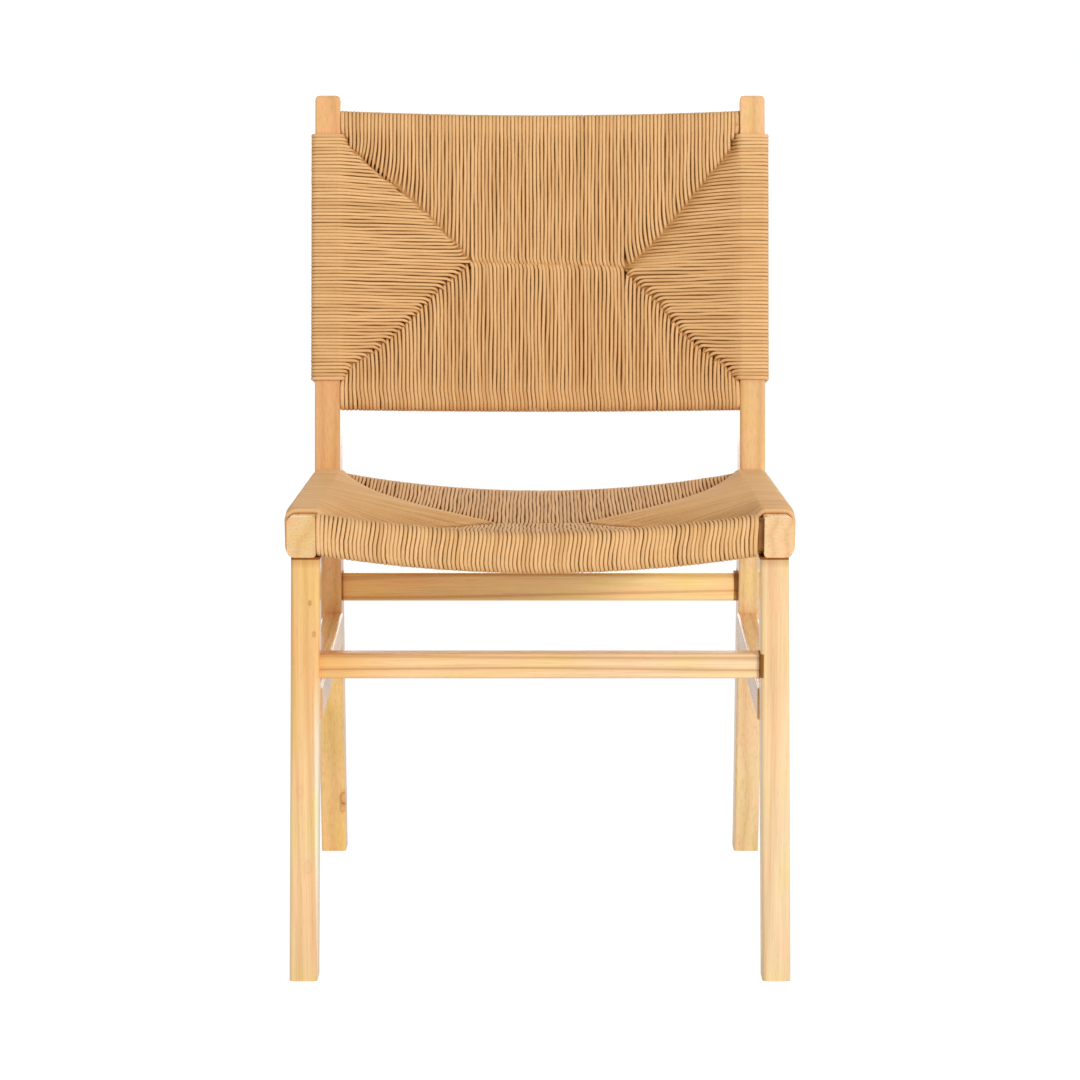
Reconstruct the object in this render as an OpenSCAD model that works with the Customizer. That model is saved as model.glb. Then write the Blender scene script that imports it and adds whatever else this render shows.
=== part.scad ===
// Dining chair of light hardwood with a seat and a back wound from paper cord.
// Millimetres, +Z up, the front of the chair faces -Y, and the origin is on the floor
// under the middle of the bounding box.

/* [Overall] */
// Height to the top of the back posts
total_h = 833.5; // [800:0.5:860]
// Depth from the front legs to the heels of the rear legs
total_d = 500; // [480:1:520]
// Width of the seat frame across its side rails
seat_w = 474; // [450:1:500]
// Depth from the front legs to the joint faces of the rear legs
seat_d = 388.5; // [370:0.5:400]
// Height of the side rails' upper edge at the front
seat_h = 451; // [430:1:470]
// Fall of the side rails towards the rear, in degrees
seat_slope = 2.07; // [0:0.01:4]

/* [Front legs] */
// Width of a front leg
front_leg_w = 27; // [24:0.5:27]
// Depth of a front leg
front_leg_d = 30; // [28:0.5:33]
// Step from the side rail's outer face in to the leg
front_leg_inset = 3.6; // [0:0.1:6]
// Outward lean of the front legs, in degrees
front_leg_splay = 0.98; // [0:0.01:2]
// Rounding of the front legs' long edges
front_leg_r = 4; // [1:0.25:5]
// Rounding of the long edges of rear legs and stretchers
edge_r = 3; // [1:0.25:4]

/* [Rear legs] */
// Width of a rear leg
rear_leg_w = 27; // [24:0.5:30]
// Step from the side rail's outer face out to the rear leg's
rear_leg_proud = 3; // [0:0.1:6]
// Depth of a rear leg at the seat
rear_leg_seat_d = 46; // [38:0.5:54]
// Depth of a rear leg at its top
rear_leg_top_d = 24.5; // [22:0.5:30]
// Depth of a rear leg at the floor
rear_leg_foot_d = 32; // [26:0.5:38]
// Outward lean of the rear legs below the seat, in degrees
rear_leg_splay = 0.5; // [0:0.05:1.5]
// Backward lean of the posts, in degrees
back_lean = 10.57; // [6:0.01:14]
// Height where the rear legs start to bend backwards
knee_z = 340; // [300:1:360]
// Rounding at the tops of the posts
post_top_r = 5; // [2:0.5:8]

/* [Seat frame] */
// Width of a side rail
side_rail_w = 27; // [24:0.5:30]
// Height of a side rail
side_rail_h = 38.8; // [34:0.2:44]
// Rounding of the side rails' outer edges
side_rail_r = 6.5; // [2:0.5:8]
// Rounding of the side rails' inner edges
side_rail_in_r = 3; // [2:0.5:8]
// Thickness of the front and rear seat rails
seat_rail_t = 18; // [16:0.5:20]
// Height of the front and rear seat rails
seat_rail_h = 31; // [26:0.5:36]
// Rounding of the seat rails' edges
seat_rail_r = 6; // [2:0.5:8]
// How far the middle of the front rail dips
front_scoop = 17.5; // [8:0.5:22]
// How far the middle of the rear rail dips
rear_scoop = 19.5; // [8:0.5:22]
// Drop of the front rail's ends below the side rails' upper edge
front_rail_drop = 3; // [0:0.5:6]
// Drop of the rear rail's ends below the side rails' upper edge
rear_rail_drop = 5.5; // [0:0.5:6]

/* [Stretchers] */
// Thickness of the front and rear stretchers
stretcher_t = 20; // [16:0.5:22]
// Height of the front stretcher
front_stretcher_h = 24; // [20:0.5:30]
// Height of the rear stretcher
rear_stretcher_h = 30.5; // [22:0.5:34]
// Height of the front and rear stretchers' lower edges above the floor
stretcher_low = 294.5; // [285:0.5:305]
// Step from the legs' faces back to the front and rear stretchers'
stretcher_set = 8; // [4:0.5:10]
// Height of the side stretchers
side_stretcher_h = 32.5; // [22:0.5:36]
// Step from the other stretchers' lower edges down to the side stretchers
side_stretcher_drop = 12.5; // [0:0.5:20]
// Thickness of the side stretchers
side_stretcher_t = 22; // [18:0.5:24]
// How far the side stretchers stand in from the legs' inner faces
side_stretcher_proud = 1.5; // [0:0.1:3]

/* [Back frame] */
// Height of the top back rail, along the posts
back_rail_h = 18; // [16:0.5:22]
// Height of the bottom back rail, along the posts
back_bottom_h = 23; // [16:0.5:26]
// Thickness of the back rails
back_rail_t = 18; // [14:0.5:19]
// Step from the tops of the posts down to the top back rail
back_top_drop = 19; // [8:0.5:40]
// Lower edge of the bottom back rail, along the posts from the seat
back_bottom_u = 68; // [60:1:90]
// Step from the posts' front face back to the ends of the back rails
back_rail_set = 4; // [2:0.5:5]
// How far the middle of the back rails bows backwards
back_bow = 28; // [15:0.5:35]

/* [Joints] */
// Diameter of the dowels
dowel_d = 8; // [6:1:8]
// Length of the dowels in the seat rails
dowel_l = 30; // [20:1:34]
// Length of the tenons on stretchers and back rails
tenon_l = 16; // [10:1:18]
// Shoulder round a tenon
tenon_shoulder = 4; // [2:0.5:5]
// Room for glue round a dowel or tenon
glue_gap = 0.1; // [0.05:0.05:0.2]

/* [Cord] */
// Thickness of the paper cord
cord_d = 3.9; // [3:0.1:4]
// Room between the cord and the wood or card under it
cord_gap = 0.25; // [0.2:0.05:0.5]
// Gap between the four fans of a panel
fan_gap = 0.3; // [0.2:0.05:0.6]
// Bare length of the front rail beside the right block
bare_rail = 4.5; // [0.5:0.5:8]
// Thickness of the folded card under the cord
card_t = 5; // [3:0.5:6]
// Half of the length of the seat's middle ridge
seat_ridge = 44; // [30:1:60]
// Drop of the seat's middle ridge below the side rails' upper edge
seat_ridge_drop = 39; // [31:0.5:46]
// Thickness of the seat at its middle ridge
seat_ridge_t = 16; // [14:0.5:20]
// Drop of the back's middle ridge below the middle of the panel
back_ridge_drop = 5; // [0:0.5:15]
// Half of the length of the back's middle ridge
back_ridge = 81; // [60:1:100]
// How far the cord dives towards the back's mitre lines
back_dive = 5; // [2:0.5:6]

/* [Hidden] */
$fn = 48;

// Widths that follow from the sizes above
rail_out = seat_w / 2;
rail_in = rail_out - side_rail_w;
post_out = rail_out + rear_leg_proud;
post_in = post_out - rear_leg_w;
cord_out = cord_d + cord_gap;

// The posts start to lean at the cord on the side rails' rear ends
lean_z = seat_h - seat_d * tan(seat_slope) + cord_out;
back_top_u = (total_h - lean_z) / cos(back_lean) - back_top_drop;

// The bow of the back rails, in the leaning frame of the posts: n runs backwards from the posts'
// front face and u upwards along them
bow_r = (post_in * post_in + back_bow * back_bow) / (2 * back_bow);
back_rail_r = 5;
function bow_n(x, grow) = back_rail_set + back_bow - bow_r + sqrt(pow(bow_r + grow, 2) - x * x);

// Depth of the whole chair: to the heels, or to the cord on the bowed top rail if that reaches further
back_reach = seat_d + (back_top_u - back_rail_r) * sin(back_lean)
    + (bow_n(0, back_rail_t) + cord_out) * cos(back_lean);
front_y = -max(total_d, back_reach) / 2;
joint_y = front_y + seat_d;

// Upper and lower edge of the sloping side rails at a depth y
function rail_top(y) = seat_h - (y - front_y) * tan(seat_slope);
function rail_bottom(y) = rail_top(y) - side_rail_h / cos(seat_slope);

// The front legs stand under the side rails and lean outwards towards the floor
leg_top_z = rail_bottom(front_y);
leg_top_out = rail_out - front_leg_inset;
front_leg_back = front_y + front_leg_d;
function front_leg_in(z) =
    leg_top_out - front_leg_w / cos(front_leg_splay) + (leg_top_z - z) * tan(front_leg_splay);

// The front face of a rear leg: a straight heel, a bend up to the joint face, and a leaning post
joint_low_z = rail_bottom(joint_y) - 3;
joint_mid_z = (rail_top(joint_y) + rail_bottom(joint_y)) / 2;
lean_blend = 20;
heel_y = front_y + total_d - rear_leg_foot_d;
heel_bend = joint_low_z - knee_z;
heel_slope = (heel_y - joint_y) / (knee_z + heel_bend / 2);
lean_slope = tan(back_lean);
function rear_leg_front(z) =
    z < knee_z ? heel_y - heel_slope * z
    : z < joint_low_z ? joint_y + heel_slope * pow(joint_low_z - z, 2) / (2 * heel_bend)
    : z < lean_z - lean_blend ? joint_y
    : z < lean_z + lean_blend ? joint_y + lean_slope * pow(z - lean_z + lean_blend, 2) / (4 * lean_blend)
    : joint_y + lean_slope * (z - lean_z);

// A rear leg is deepest at the joint and swells smoothly from both ends
function swell(a, b, share) = a + (b - a) * (1 - cos(180 * share)) / 2;
function rear_leg_depth(z) =
    z < joint_mid_z ? swell(rear_leg_foot_d, rear_leg_seat_d, z / joint_mid_z)
    : swell(rear_leg_seat_d, rear_leg_top_d, (z - joint_mid_z) / (total_h - joint_mid_z));
function rear_leg_in(z) = post_in + tan(rear_leg_splay) * max(0, joint_low_z - z);

// Stretchers: the side ones sit below the front and rear ones, so no two tenons meet
front_stretcher_top = stretcher_low + front_stretcher_h;
rear_stretcher_top = stretcher_low + rear_stretcher_h;
stretcher_mid = stretcher_low + front_stretcher_h / 2;
side_stretcher_low = stretcher_low - side_stretcher_drop - side_stretcher_h;
side_stretcher_mid = side_stretcher_low + side_stretcher_h / 2;
front_stretcher_y = front_y + stretcher_set;
rear_stretcher_y = rear_leg_front(stretcher_low + rear_stretcher_h / 2) + stretcher_set;

// Seat rails: arcs that dip in the middle, set back so that the cord comes flush with the frame
front_rail_y = front_y + cord_out;
front_rail_z = seat_h - front_rail_drop;
rear_rail_y = joint_y + cord_out + fan_gap;
rear_rail_z = rail_top(joint_y) - rear_rail_drop;
function scoop_r(half, scoop) = (half * half + scoop * scoop) / (2 * scoop);
function scoop_z(x, half, scoop, z_end, grow) =
    let (r = scoop_r(half, scoop))
    z_end - scoop + r - sqrt(pow(r + grow, 2) - x * x);

// Depth of a post's back behind its front face, at a height u along it
function post_back_n(u) =
    let (z = lean_z + (u - rear_leg_depth(lean_z + u * cos(back_lean)) * sin(back_lean)) * cos(back_lean))
    rear_leg_depth(z) * cos(back_lean);

// Dowels: their places in the frame
dowel_hole = dowel_d + 2 * glue_gap;
front_leg_dowel_x = leg_top_out - front_leg_w / 2;
front_leg_dowel_y = [front_leg_d / 4 + 1, front_leg_d * 3 / 4 - 1];
front_leg_dowel_low = 17;
front_leg_dowel_high = 11;
front_rail_dowel_z = [front_rail_z - dowel_d - 1, front_rail_z - 2 * dowel_d - 4];
side_rail_dowel_z = [joint_mid_z - side_rail_h / 3, joint_mid_z + side_rail_h / 3];
rear_rail_dowel_z = [joint_mid_z - dowel_d / 2 - 0.5, joint_mid_z + dowel_d / 2 + 0.5];
tenon_room = tenon_l + 0.5;

// Shapes that several pieces share

// A rectangle from the origin, with corners rounded by r at its left and by q at its right
module rounded_rect(w, h, r, q) {
    translate([r, 0]) square([w - r - q, h]);
    translate([0, r]) square([r, h - 2 * r]);
    translate([w - q, q]) square([q, h - 2 * q]);
    for (y = [r, h - r]) translate([r, y]) circle(r, $fn = 32);
    for (y = [q, h - q]) translate([w - q, y]) circle(q, $fn = 32);
}

// A box between two corners
module box(low, high) {
    translate(low) cube(high - low);
}

// A bar along X with rounded edges
module bar_x(low, high, r) {
    translate([low.x, low.y, low.z]) rotate([90, 0, 90])
        linear_extrude(high.x - low.x) rounded_rect(high.y - low.y, high.z - low.z, r, r);
}

// A bar along Y with edges rounded by r at its left and by q at its right
module bar_y(low, high, r, q) {
    translate([low.x, high.y, low.z]) rotate([90, 0, 0])
        linear_extrude(high.y - low.y) rounded_rect(high.x - low.x, high.z - low.z, r, q);
}

module both_sides() {
    children();
    mirror([1, 0, 0]) children();
}

// The frame of the back: x, n and u in place of x, y and z
module on_back() {
    translate([0, joint_y, lean_z]) rotate([-back_lean, 0, 0]) children();
}

// The frame of the sloping side rails, with its origin on their upper front edge
module on_rail_slope() {
    translate([0, front_y, seat_h]) rotate([-seat_slope, 0, 0]) children();
}

// A rounded ring of 16 points at a height z, seen from above
function ring(x0, x1, y0, y1, z, r) = [
    for (corner = [0:3], step = [0:3])
    let (
        angle = 180 + 90 * corner + 30 * step,
        x = corner == 0 || corner == 3 ? x0 + r : x1 - r,
        y = corner < 2 ? y0 + r : y1 - r
    )
    [x + r * cos(angle), y + r * sin(angle), z]
];

// A solid through a list of rings that are stacked upwards
module loft(rings) {
    n = len(rings[0]);
    top = (len(rings) - 1) * n;
    sides = [
        for (i = [0:len(rings) - 2], j = [0:n - 1])
        let (a = i * n + j, b = i * n + (j + 1) % n)
        each [[a, a + n, b + n], [a, b + n, b]]
    ];
    low_cap = [for (j = [0:n - 1]) j];
    top_cap = [for (j = [n - 1:-1:0]) top + j];
    polyhedron([for (r = rings) each r], concat(sides, [low_cap, top_cap]));
}

// Wooden pieces

// A straight front leg before it is cut to length
module front_leg_blank() {
    translate([leg_top_out - front_leg_w, front_y, leg_top_z]) rotate([0, -front_leg_splay, 0])
        translate([0, 0, -total_h]) linear_extrude(total_h + side_rail_h)
            rounded_rect(front_leg_w, front_leg_d, front_leg_r, front_leg_r);
}

// Everything above the side rails' sloping underside
module above_rail_bottom() {
    on_rail_slope() box([-total_d, -total_d, -side_rail_h], [total_d, 2 * total_d, total_d]);
}

module front_leg() {
    difference() {
        front_leg_blank();
        box([0, -total_d, -total_h], [total_d, total_d, 0]);
        above_rail_bottom();
        front_stretcher_tenons(glue_gap);
        side_stretcher_tenons(glue_gap);
        front_leg_dowel_set(dowel_hole);
    }
}

// The heights of a rear leg's rings, closer together where it bends
leg_steps = concat(
    [for (i = [0:5]) knee_z * i / 5],
    [for (i = [1:4]) knee_z + heel_bend * i / 4],
    [for (i = [0:6]) lean_z - lean_blend + 2 * lean_blend * i / 6],
    [for (i = [1:12]) lean_z + lean_blend + (total_h - post_top_r - lean_z - lean_blend) * i / 12]
);
function rear_leg_ring(z, inset) = ring(
    rear_leg_in(z) + inset, rear_leg_in(z) + rear_leg_w - inset,
    rear_leg_front(z) + inset, rear_leg_front(z) + rear_leg_depth(z) - inset, z, edge_r
);

module rear_leg() {
    top_rings = [
        for (a = [30:30:90])
        rear_leg_ring(total_h - post_top_r + post_top_r * sin(a), post_top_r * (1 - cos(a)) * 0.7)
    ];
    difference() {
        loft(concat([for (z = leg_steps) rear_leg_ring(z, 0)], top_rings));
        rear_stretcher_tenons(glue_gap);
        side_stretcher_tenons(glue_gap);
        back_rail_tenons(back_top_u - back_rail_h, back_rail_h, glue_gap);
        back_rail_tenons(back_bottom_u, back_bottom_h, glue_gap);
        side_rail_dowel_set(dowel_hole);
        rear_rail_dowel_set(dowel_hole);
    }
}

module side_rail() {
    difference() {
        intersection() {
            on_rail_slope()
                bar_y(
                    [rail_in, -total_d, -side_rail_h], [rail_out, total_d, 0], side_rail_in_r, side_rail_r
                );
            box([0, front_y, 0], [total_d, joint_y, total_h]);
        }
        front_leg_dowel_set(dowel_hole);
        front_rail_dowel_set(dowel_hole);
        side_rail_dowel_set(dowel_hole);
    }
}

// A seat rail that dips in an arc between two flat ends
module scooped_rail(half, scoop, y, z_end) {
    r = scoop_r(half, scoop);
    turn = 2 * asin(half / r) + 2;
    intersection() {
        translate([0, y + seat_rail_t, z_end - scoop + r]) rotate([90, 0, 0]) rotate([0, 0, 270 - turn / 2])
            rotate_extrude(angle = turn, $fn = 720) translate([r, 0])
                rounded_rect(seat_rail_h, seat_rail_t, seat_rail_r, seat_rail_r);
        box([-half, y - 1, 0], [half, y + seat_rail_t + 1, total_h]);
    }
}

module front_seat_rail() {
    color("burlywood") difference() {
        scooped_rail(rail_in, front_scoop, front_rail_y, front_rail_z);
        both_sides() front_rail_dowel_set(dowel_hole);
    }
}

module rear_seat_rail() {
    color("burlywood") difference() {
        scooped_rail(post_in, rear_scoop, rear_rail_y, rear_rail_z);
        both_sides() rear_rail_dowel_set(dowel_hole);
    }
}

// Tenons are drawn a little larger, by grow, where they cut their mortises

module front_stretcher_tenons(grow) {
    reach = front_leg_in(stretcher_mid) + (grow > 0 ? tenon_room : tenon_l);
    low = stretcher_low + tenon_shoulder - grow;
    high = front_stretcher_top - tenon_shoulder + grow;
    near = front_stretcher_y + tenon_shoulder - grow;
    far = front_stretcher_y + stretcher_t - tenon_shoulder + grow;
    box([-reach, near, low], [reach, far, high]);
}

module rear_stretcher_tenons(grow) {
    reach = rear_leg_in(stretcher_low) + (grow > 0 ? tenon_room : tenon_l);
    low = stretcher_low + tenon_shoulder - grow;
    high = rear_stretcher_top - tenon_shoulder + grow;
    near = rear_stretcher_y + tenon_shoulder - grow;
    far = rear_stretcher_y + stretcher_t - tenon_shoulder + grow;
    box([-reach, near, low], [reach, far, high]);
}

module front_stretcher() {
    half = front_leg_in(stretcher_mid) + edge_r;
    color("burlywood") {
        difference() {
            bar_x(
                [-half, front_stretcher_y, stretcher_low],
                [half, front_stretcher_y + stretcher_t, front_stretcher_top], edge_r
            );
            both_sides() front_leg_blank();
        }
        front_stretcher_tenons(0);
    }
}

module rear_stretcher() {
    half = rear_leg_in(rear_stretcher_top);
    color("burlywood") {
        bar_x(
            [-half, rear_stretcher_y, stretcher_low],
            [half, rear_stretcher_y + stretcher_t, rear_stretcher_top], edge_r
        );
        rear_stretcher_tenons(0);
    }
}

// A side stretcher runs along the line between the two legs' inner faces
side_start = [front_leg_in(side_stretcher_mid) - side_stretcher_proud, front_leg_back];
side_end = [rear_leg_in(side_stretcher_mid) - side_stretcher_proud, rear_leg_front(side_stretcher_mid)];
side_turn = atan2(side_end.x - side_start.x, side_end.y - side_start.y);
side_length = norm(side_end - side_start);

module on_side_line() {
    translate([side_start.x, side_start.y, side_stretcher_low]) rotate([0, 0, -side_turn]) children();
}

module side_stretcher_tenons(grow) {
    reach = grow > 0 ? tenon_room : tenon_l;
    on_side_line() box(
        [tenon_shoulder - grow, -reach, tenon_shoulder - grow],
        [
            side_stretcher_t - tenon_shoulder + grow, side_length + reach,
            side_stretcher_h - tenon_shoulder + grow
        ]
    );
}

// Everything behind the plane of the rear legs' straight heels
module behind_heel() {
    translate([0, heel_y, 0]) rotate([atan(heel_slope), 0, 0])
        box([-total_d, 0, -total_h], [total_d, total_d, total_h]);
}

module side_stretcher() {
    difference() {
        on_side_line() bar_y(
            [0, -front_leg_r, 0],
            [side_stretcher_t, side_length + total_d / 10, side_stretcher_h], edge_r, edge_r
        );
        box([0, -total_d, 0], [total_d, front_leg_back, total_h]);
        behind_heel();
    }
    side_stretcher_tenons(0);
}

// A back rail of height h that bows backwards, standing on the height u
module bowed_rail(u, h) {
    turn = 2 * asin(post_in / bow_r) + 2;
    on_back() intersection() {
        translate([0, bow_n(0, 0) - bow_r, u]) rotate([0, 0, 90 - turn / 2])
            rotate_extrude(angle = turn, $fn = 720) translate([bow_r, 0])
                rounded_rect(back_rail_t, h, back_rail_r, back_rail_r);
        box([-post_in, -total_d, u - 1], [post_in, total_d, u + h + 1]);
    }
    back_rail_tenons(u, h, 0);
}

module back_rail_tenons(u, h, grow) {
    inner = post_in - 2 * tenon_shoulder;
    reach = post_in + (grow > 0 ? tenon_room : tenon_l);
    near = bow_n(inner, 0) + 1 - grow;
    far = bow_n(post_in, back_rail_t) - tenon_shoulder + grow;
    low = u + tenon_shoulder - grow;
    high = u + h - tenon_shoulder + grow;
    on_back() both_sides() box([inner, near, low], [reach, far, high]);
}

// Dowels, each set drawn for the right half of the chair

module front_leg_dowel_set(d) {
    for (y = front_leg_dowel_y) translate([front_leg_dowel_x, front_y + y, leg_top_z - front_leg_dowel_low])
        cylinder(h = front_leg_dowel_low + front_leg_dowel_high, d = d);
}

module front_rail_dowel_set(d) {
    for (z = front_rail_dowel_z) translate([rail_in - dowel_l / 2, front_rail_y + seat_rail_t / 2, z])
        rotate([0, 90, 0]) cylinder(h = dowel_l, d = d);
}

module rear_rail_dowel_set(d) {
    for (z = rear_rail_dowel_z) translate([post_in - dowel_l / 2, rear_rail_y + seat_rail_t / 2, z])
        rotate([0, 90, 0]) cylinder(h = dowel_l, d = d);
}

module side_rail_dowel_set(d) {
    for (z = side_rail_dowel_z) translate([rail_out - side_rail_w / 2, joint_y - dowel_l / 2, z])
        rotate([-90, 0, 0]) cylinder(h = dowel_l, d = d);
}

// Paper cord. A panel is four fans of strands that meet on mitre lines and on a middle ridge.
// Each fan is a sheet one cord thick, wound round its rail and closed where the strands
// dive between the layers. A spec is one strand's section, with a across the rail from its
// outer edge and h up from the chair's side that shows:
// [rail thickness, rail rounding at its outer edge, rail top, rail bottom, reach, top at the reach,
// bottom at the reach, rail rounding at its inner edge]

function dir(angle) = [cos(angle), sin(angle)];

// The angle at which a strand leaves the rounding about c for the point p; side is 1 on top, -1 below
flattest_leave = 87;
function leave(c, p, radius, side) =
    let (tangent = atan2(p.y - c.y, p.x - c.x) + side * acos(min(1, radius / norm(p - c))))
    side * min(flattest_leave, side * tangent);

// Where the inside of a strand ends, for a strand that reaches p and left its rail at an angle
function inside_end(p, angle, side) =
    let (fall = min(60, side * (side * 90 - angle)))
    [p.x - cord_d, p.y + side * cord_d * (tan(fall) - 1 / cos(fall))];

// The outline of a strand's section: outside if grow is cord_out, inside if it is cord_gap
function strand_loop(spec, grow) =
    let (
        t = spec[0], r = spec[1], q = spec[7], high = spec[2] - r, low = spec[3] + r,
        end_top = [spec[4], spec[5]], end_low = [spec[4], spec[6]],
        top_c = [t - q, spec[2] - q], low_c = [t - q, spec[3] + q],
        top_a = leave(top_c, end_top, q + cord_out, 1),
        low_a = leave(low_c, end_low, q + cord_out, -1),
        g = r + grow,
        h = q + grow,
        out = grow == cord_out
    )
    [
        out ? end_top : inside_end(end_top, top_a, 1),
        top_c + h * dir(top_a),
        top_c + h * dir(90),
        [r, high] + g * dir(90),
        [r, high] + g * dir(135),
        [r, high] + g * dir(180),
        [r, low] + g * dir(180),
        [r, low] + g * dir(225),
        [r, low] + g * dir(270),
        low_c + h * dir(270),
        low_c + h * dir(low_a),
        out ? end_low : inside_end(end_low, low_a, -1)
    ];

// The outline of the card that lies under a strand, from the rail to the fan's closed end
function card_loop(spec) =
    let (
        inside = strand_loop(spec, cord_gap),
        near = spec[0] + 2 * cord_gap,
        far = spec[4] - cord_d - cord_gap,
        slope = (inside[0].y - inside[1].y) / (inside[0].x - inside[1].x),
        near_top = inside[0].y + slope * (near - inside[0].x) - cord_gap,
        far_top = inside[0].y + slope * (far - inside[0].x) - cord_gap
    )
    [[near, near_top], [near, near_top - card_t], [far, far_top - card_t], [far, far_top]];

// A closed sheet between outer and inner loops, one pair for each place along the rail
module sheet(outer, inner) {
    n = len(outer[0]);
    m = len(outer);
    last = (m - 1) * n;
    inside = m * n;
    walls = [
        for (i = [0:m - 2], j = [0:n - 1])
        let (a = i * n + j, b = i * n + (j + 1) % n)
        each [
            [a, a + n, b + n], [a, b + n, b],
            [inside + a, inside + b + n, inside + a + n], [inside + a, inside + b, inside + b + n]
        ]
    ];
    ends = [
        for (j = [0:n - 1])
        let (a = j, b = (j + 1) % n)
        each [
            [a, b, inside + b], [a, inside + b, inside + a],
            [last + a, inside + last + b, last + b], [last + a, inside + last + a, inside + last + b]
        ]
    ];
    polyhedron([for (loop = concat(outer, inner)) each loop], concat(walls, ends));
}

// Shares of the way from a corner of a panel to the end of its ridge, closest at the corner
ramp = [for (i = [0:8]) pow(i / 8, 1.5)];
function backwards(list) = [for (i = [len(list) - 1:-1:0]) list[i]];
function between(a, b, share) = a + (b - a) * share;

// Places along a rail with their shares: from the left end over both corners to the right end
function along_rail(left, right, corner, ridge) =
    let (half = concat([for (s = ramp) [between(corner, ridge, s), s]], [[ridge / 2, 1]]))
    concat(
        [[-left, 0]], [for (place = half) [-place[0], place[1]]], [[0, 1]], backwards(half), [[right, 0]]
    );

// Seat panel: its corners in plan, and its heights along the mitre lines
seat_corner_x = rail_in - cord_out - fan_gap;
front_wrap_right = rail_in - bare_rail;
front_corner_x = min(seat_corner_x, front_wrap_right - fan_gap);
seat_corner_front = front_rail_y + seat_rail_t + cord_out + fan_gap;
seat_corner_rear = joint_y;
seat_mid_y = (seat_corner_front + seat_corner_rear) / 2;
seat_ridge_z = seat_h - seat_ridge_drop;
seat_low_z = seat_ridge_z - seat_ridge_t;
function dish(s, corner_z) =
    seat_ridge_z + (corner_z - seat_ridge_z) * (0.35 * (1 - s) + 0.65 * pow(1 - s, 6));
function front_dish(s) = dish(s, rail_top(seat_corner_front) - 1);
function rear_dish(s) = dish(s, rail_top(seat_corner_rear) - 1.5);
function belly(s, rail_z) = between(rail_z - seat_rail_h - cord_out + 2, seat_low_z, s);
function front_belly(s) = belly(s, front_rail_z);
function rear_belly(s) = belly(s, rear_rail_z);

function front_fan_spec(x, s) = [
    seat_rail_t, seat_rail_r,
    scoop_z(x, rail_in, front_scoop, front_rail_z, 0),
    scoop_z(x, rail_in, front_scoop, front_rail_z, seat_rail_h),
    between(seat_corner_front, seat_mid_y, s) - fan_gap - front_rail_y,
    front_dish(s), front_belly(s), seat_rail_r
];
function rear_fan_spec(x, s) = [
    seat_rail_t, seat_rail_r,
    scoop_z(x, post_in, rear_scoop, rear_rail_z, 0),
    scoop_z(x, post_in, rear_scoop, rear_rail_z, seat_rail_h),
    rear_rail_y + seat_rail_t - between(seat_corner_rear, seat_mid_y, s) - fan_gap,
    rear_dish(s), rear_belly(s), seat_rail_r
];
function side_fan_spec(y, s, high, low) = [
    side_rail_w, side_rail_r, rail_top(y), rail_bottom(y),
    rail_out - between(seat_corner_x, seat_ridge, s) - fan_gap, high, low, side_rail_in_r
];

// A side fan starts beside the front corner, but under the rail it starts behind the leg
behind_leg = front_leg_back + fan_gap - seat_corner_front;
function place_front(loop, x) = [for (p = loop) [x, front_rail_y + p.x, p.y]];
function place_rear(loop, x) = [for (p = loop) [x, rear_rail_y + seat_rail_t - p.x, p.y]];
function place_side(loop, y, s) = [
    for (i = [0:len(loop) - 1])
    [rail_out - loop[i].x, y + (i < 7 ? 0 : behind_leg * pow(1 - s, 8)), loop[i].y]
];

// Columns of a side fan, front to rear: [place, share, slant, spec]
side_columns = concat(
    [
        for (s = ramp)
        let (y = between(seat_corner_front, seat_mid_y, s))
        [y, s, s, side_fan_spec(y, s, front_dish(s), front_belly(s))]
    ],
    [
        for (i = [len(ramp) - 2:-1:0])
        let (s = ramp[i], y = min(between(seat_corner_rear, seat_mid_y, s), joint_y - fan_gap))
        [y, s, 1, side_fan_spec(y, s, rear_dish(s), rear_belly(s))]
    ]
);
front_columns = along_rail(rail_in - fan_gap, front_wrap_right, front_corner_x, seat_ridge);
rear_columns = backwards(along_rail(post_in - fan_gap, post_in - fan_gap, seat_corner_x, seat_ridge));

module seat_front_fan() {
    sheet(
        [for (c = front_columns) place_front(strand_loop(front_fan_spec(c[0], c[1]), cord_out), c[0])],
        [for (c = front_columns) place_front(strand_loop(front_fan_spec(c[0], c[1]), cord_gap), c[0])]
    );
}

module seat_rear_fan() {
    sheet(
        [for (c = rear_columns) place_rear(strand_loop(rear_fan_spec(c[0], c[1]), cord_out), c[0])],
        [for (c = rear_columns) place_rear(strand_loop(rear_fan_spec(c[0], c[1]), cord_gap), c[0])]
    );
}

module seat_side_fan() {
    sheet(
        [for (c = side_columns) place_side(strand_loop(c[3], cord_out), c[0], c[2])],
        [for (c = side_columns) place_side(strand_loop(c[3], cord_gap), c[0], c[2])]
    );
}

// One long cord winds the whole seat; it leaves a little of the front rail bare at its right end
module seat_cord() {
    color("peru") {
        seat_front_fan();
        seat_rear_fan();
        both_sides() seat_side_fan();
    }
}

// Folded card under the upper layer of each fan, kept away from the narrow corners
card_start = ramp[2];

module seat_card_front() {
    color("tan") loft([
        for (c = front_columns) if (c[1] >= card_start)
            place_front(card_loop(front_fan_spec(c[0], c[1])), c[0])
    ]);
}

module seat_card_rear() {
    color("tan") loft([
        for (c = rear_columns) if (c[1] >= card_start)
            place_rear(card_loop(rear_fan_spec(c[0], c[1])), c[0])
    ]);
}

module seat_card_right() {
    color("tan") loft([
        for (c = side_columns) if (c[1] >= card_start)
            place_side(card_loop(c[3]), c[0], 1)
    ]);
}

module seat_card_left() {
    mirror([1, 0, 0]) seat_card_right();
}

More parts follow.
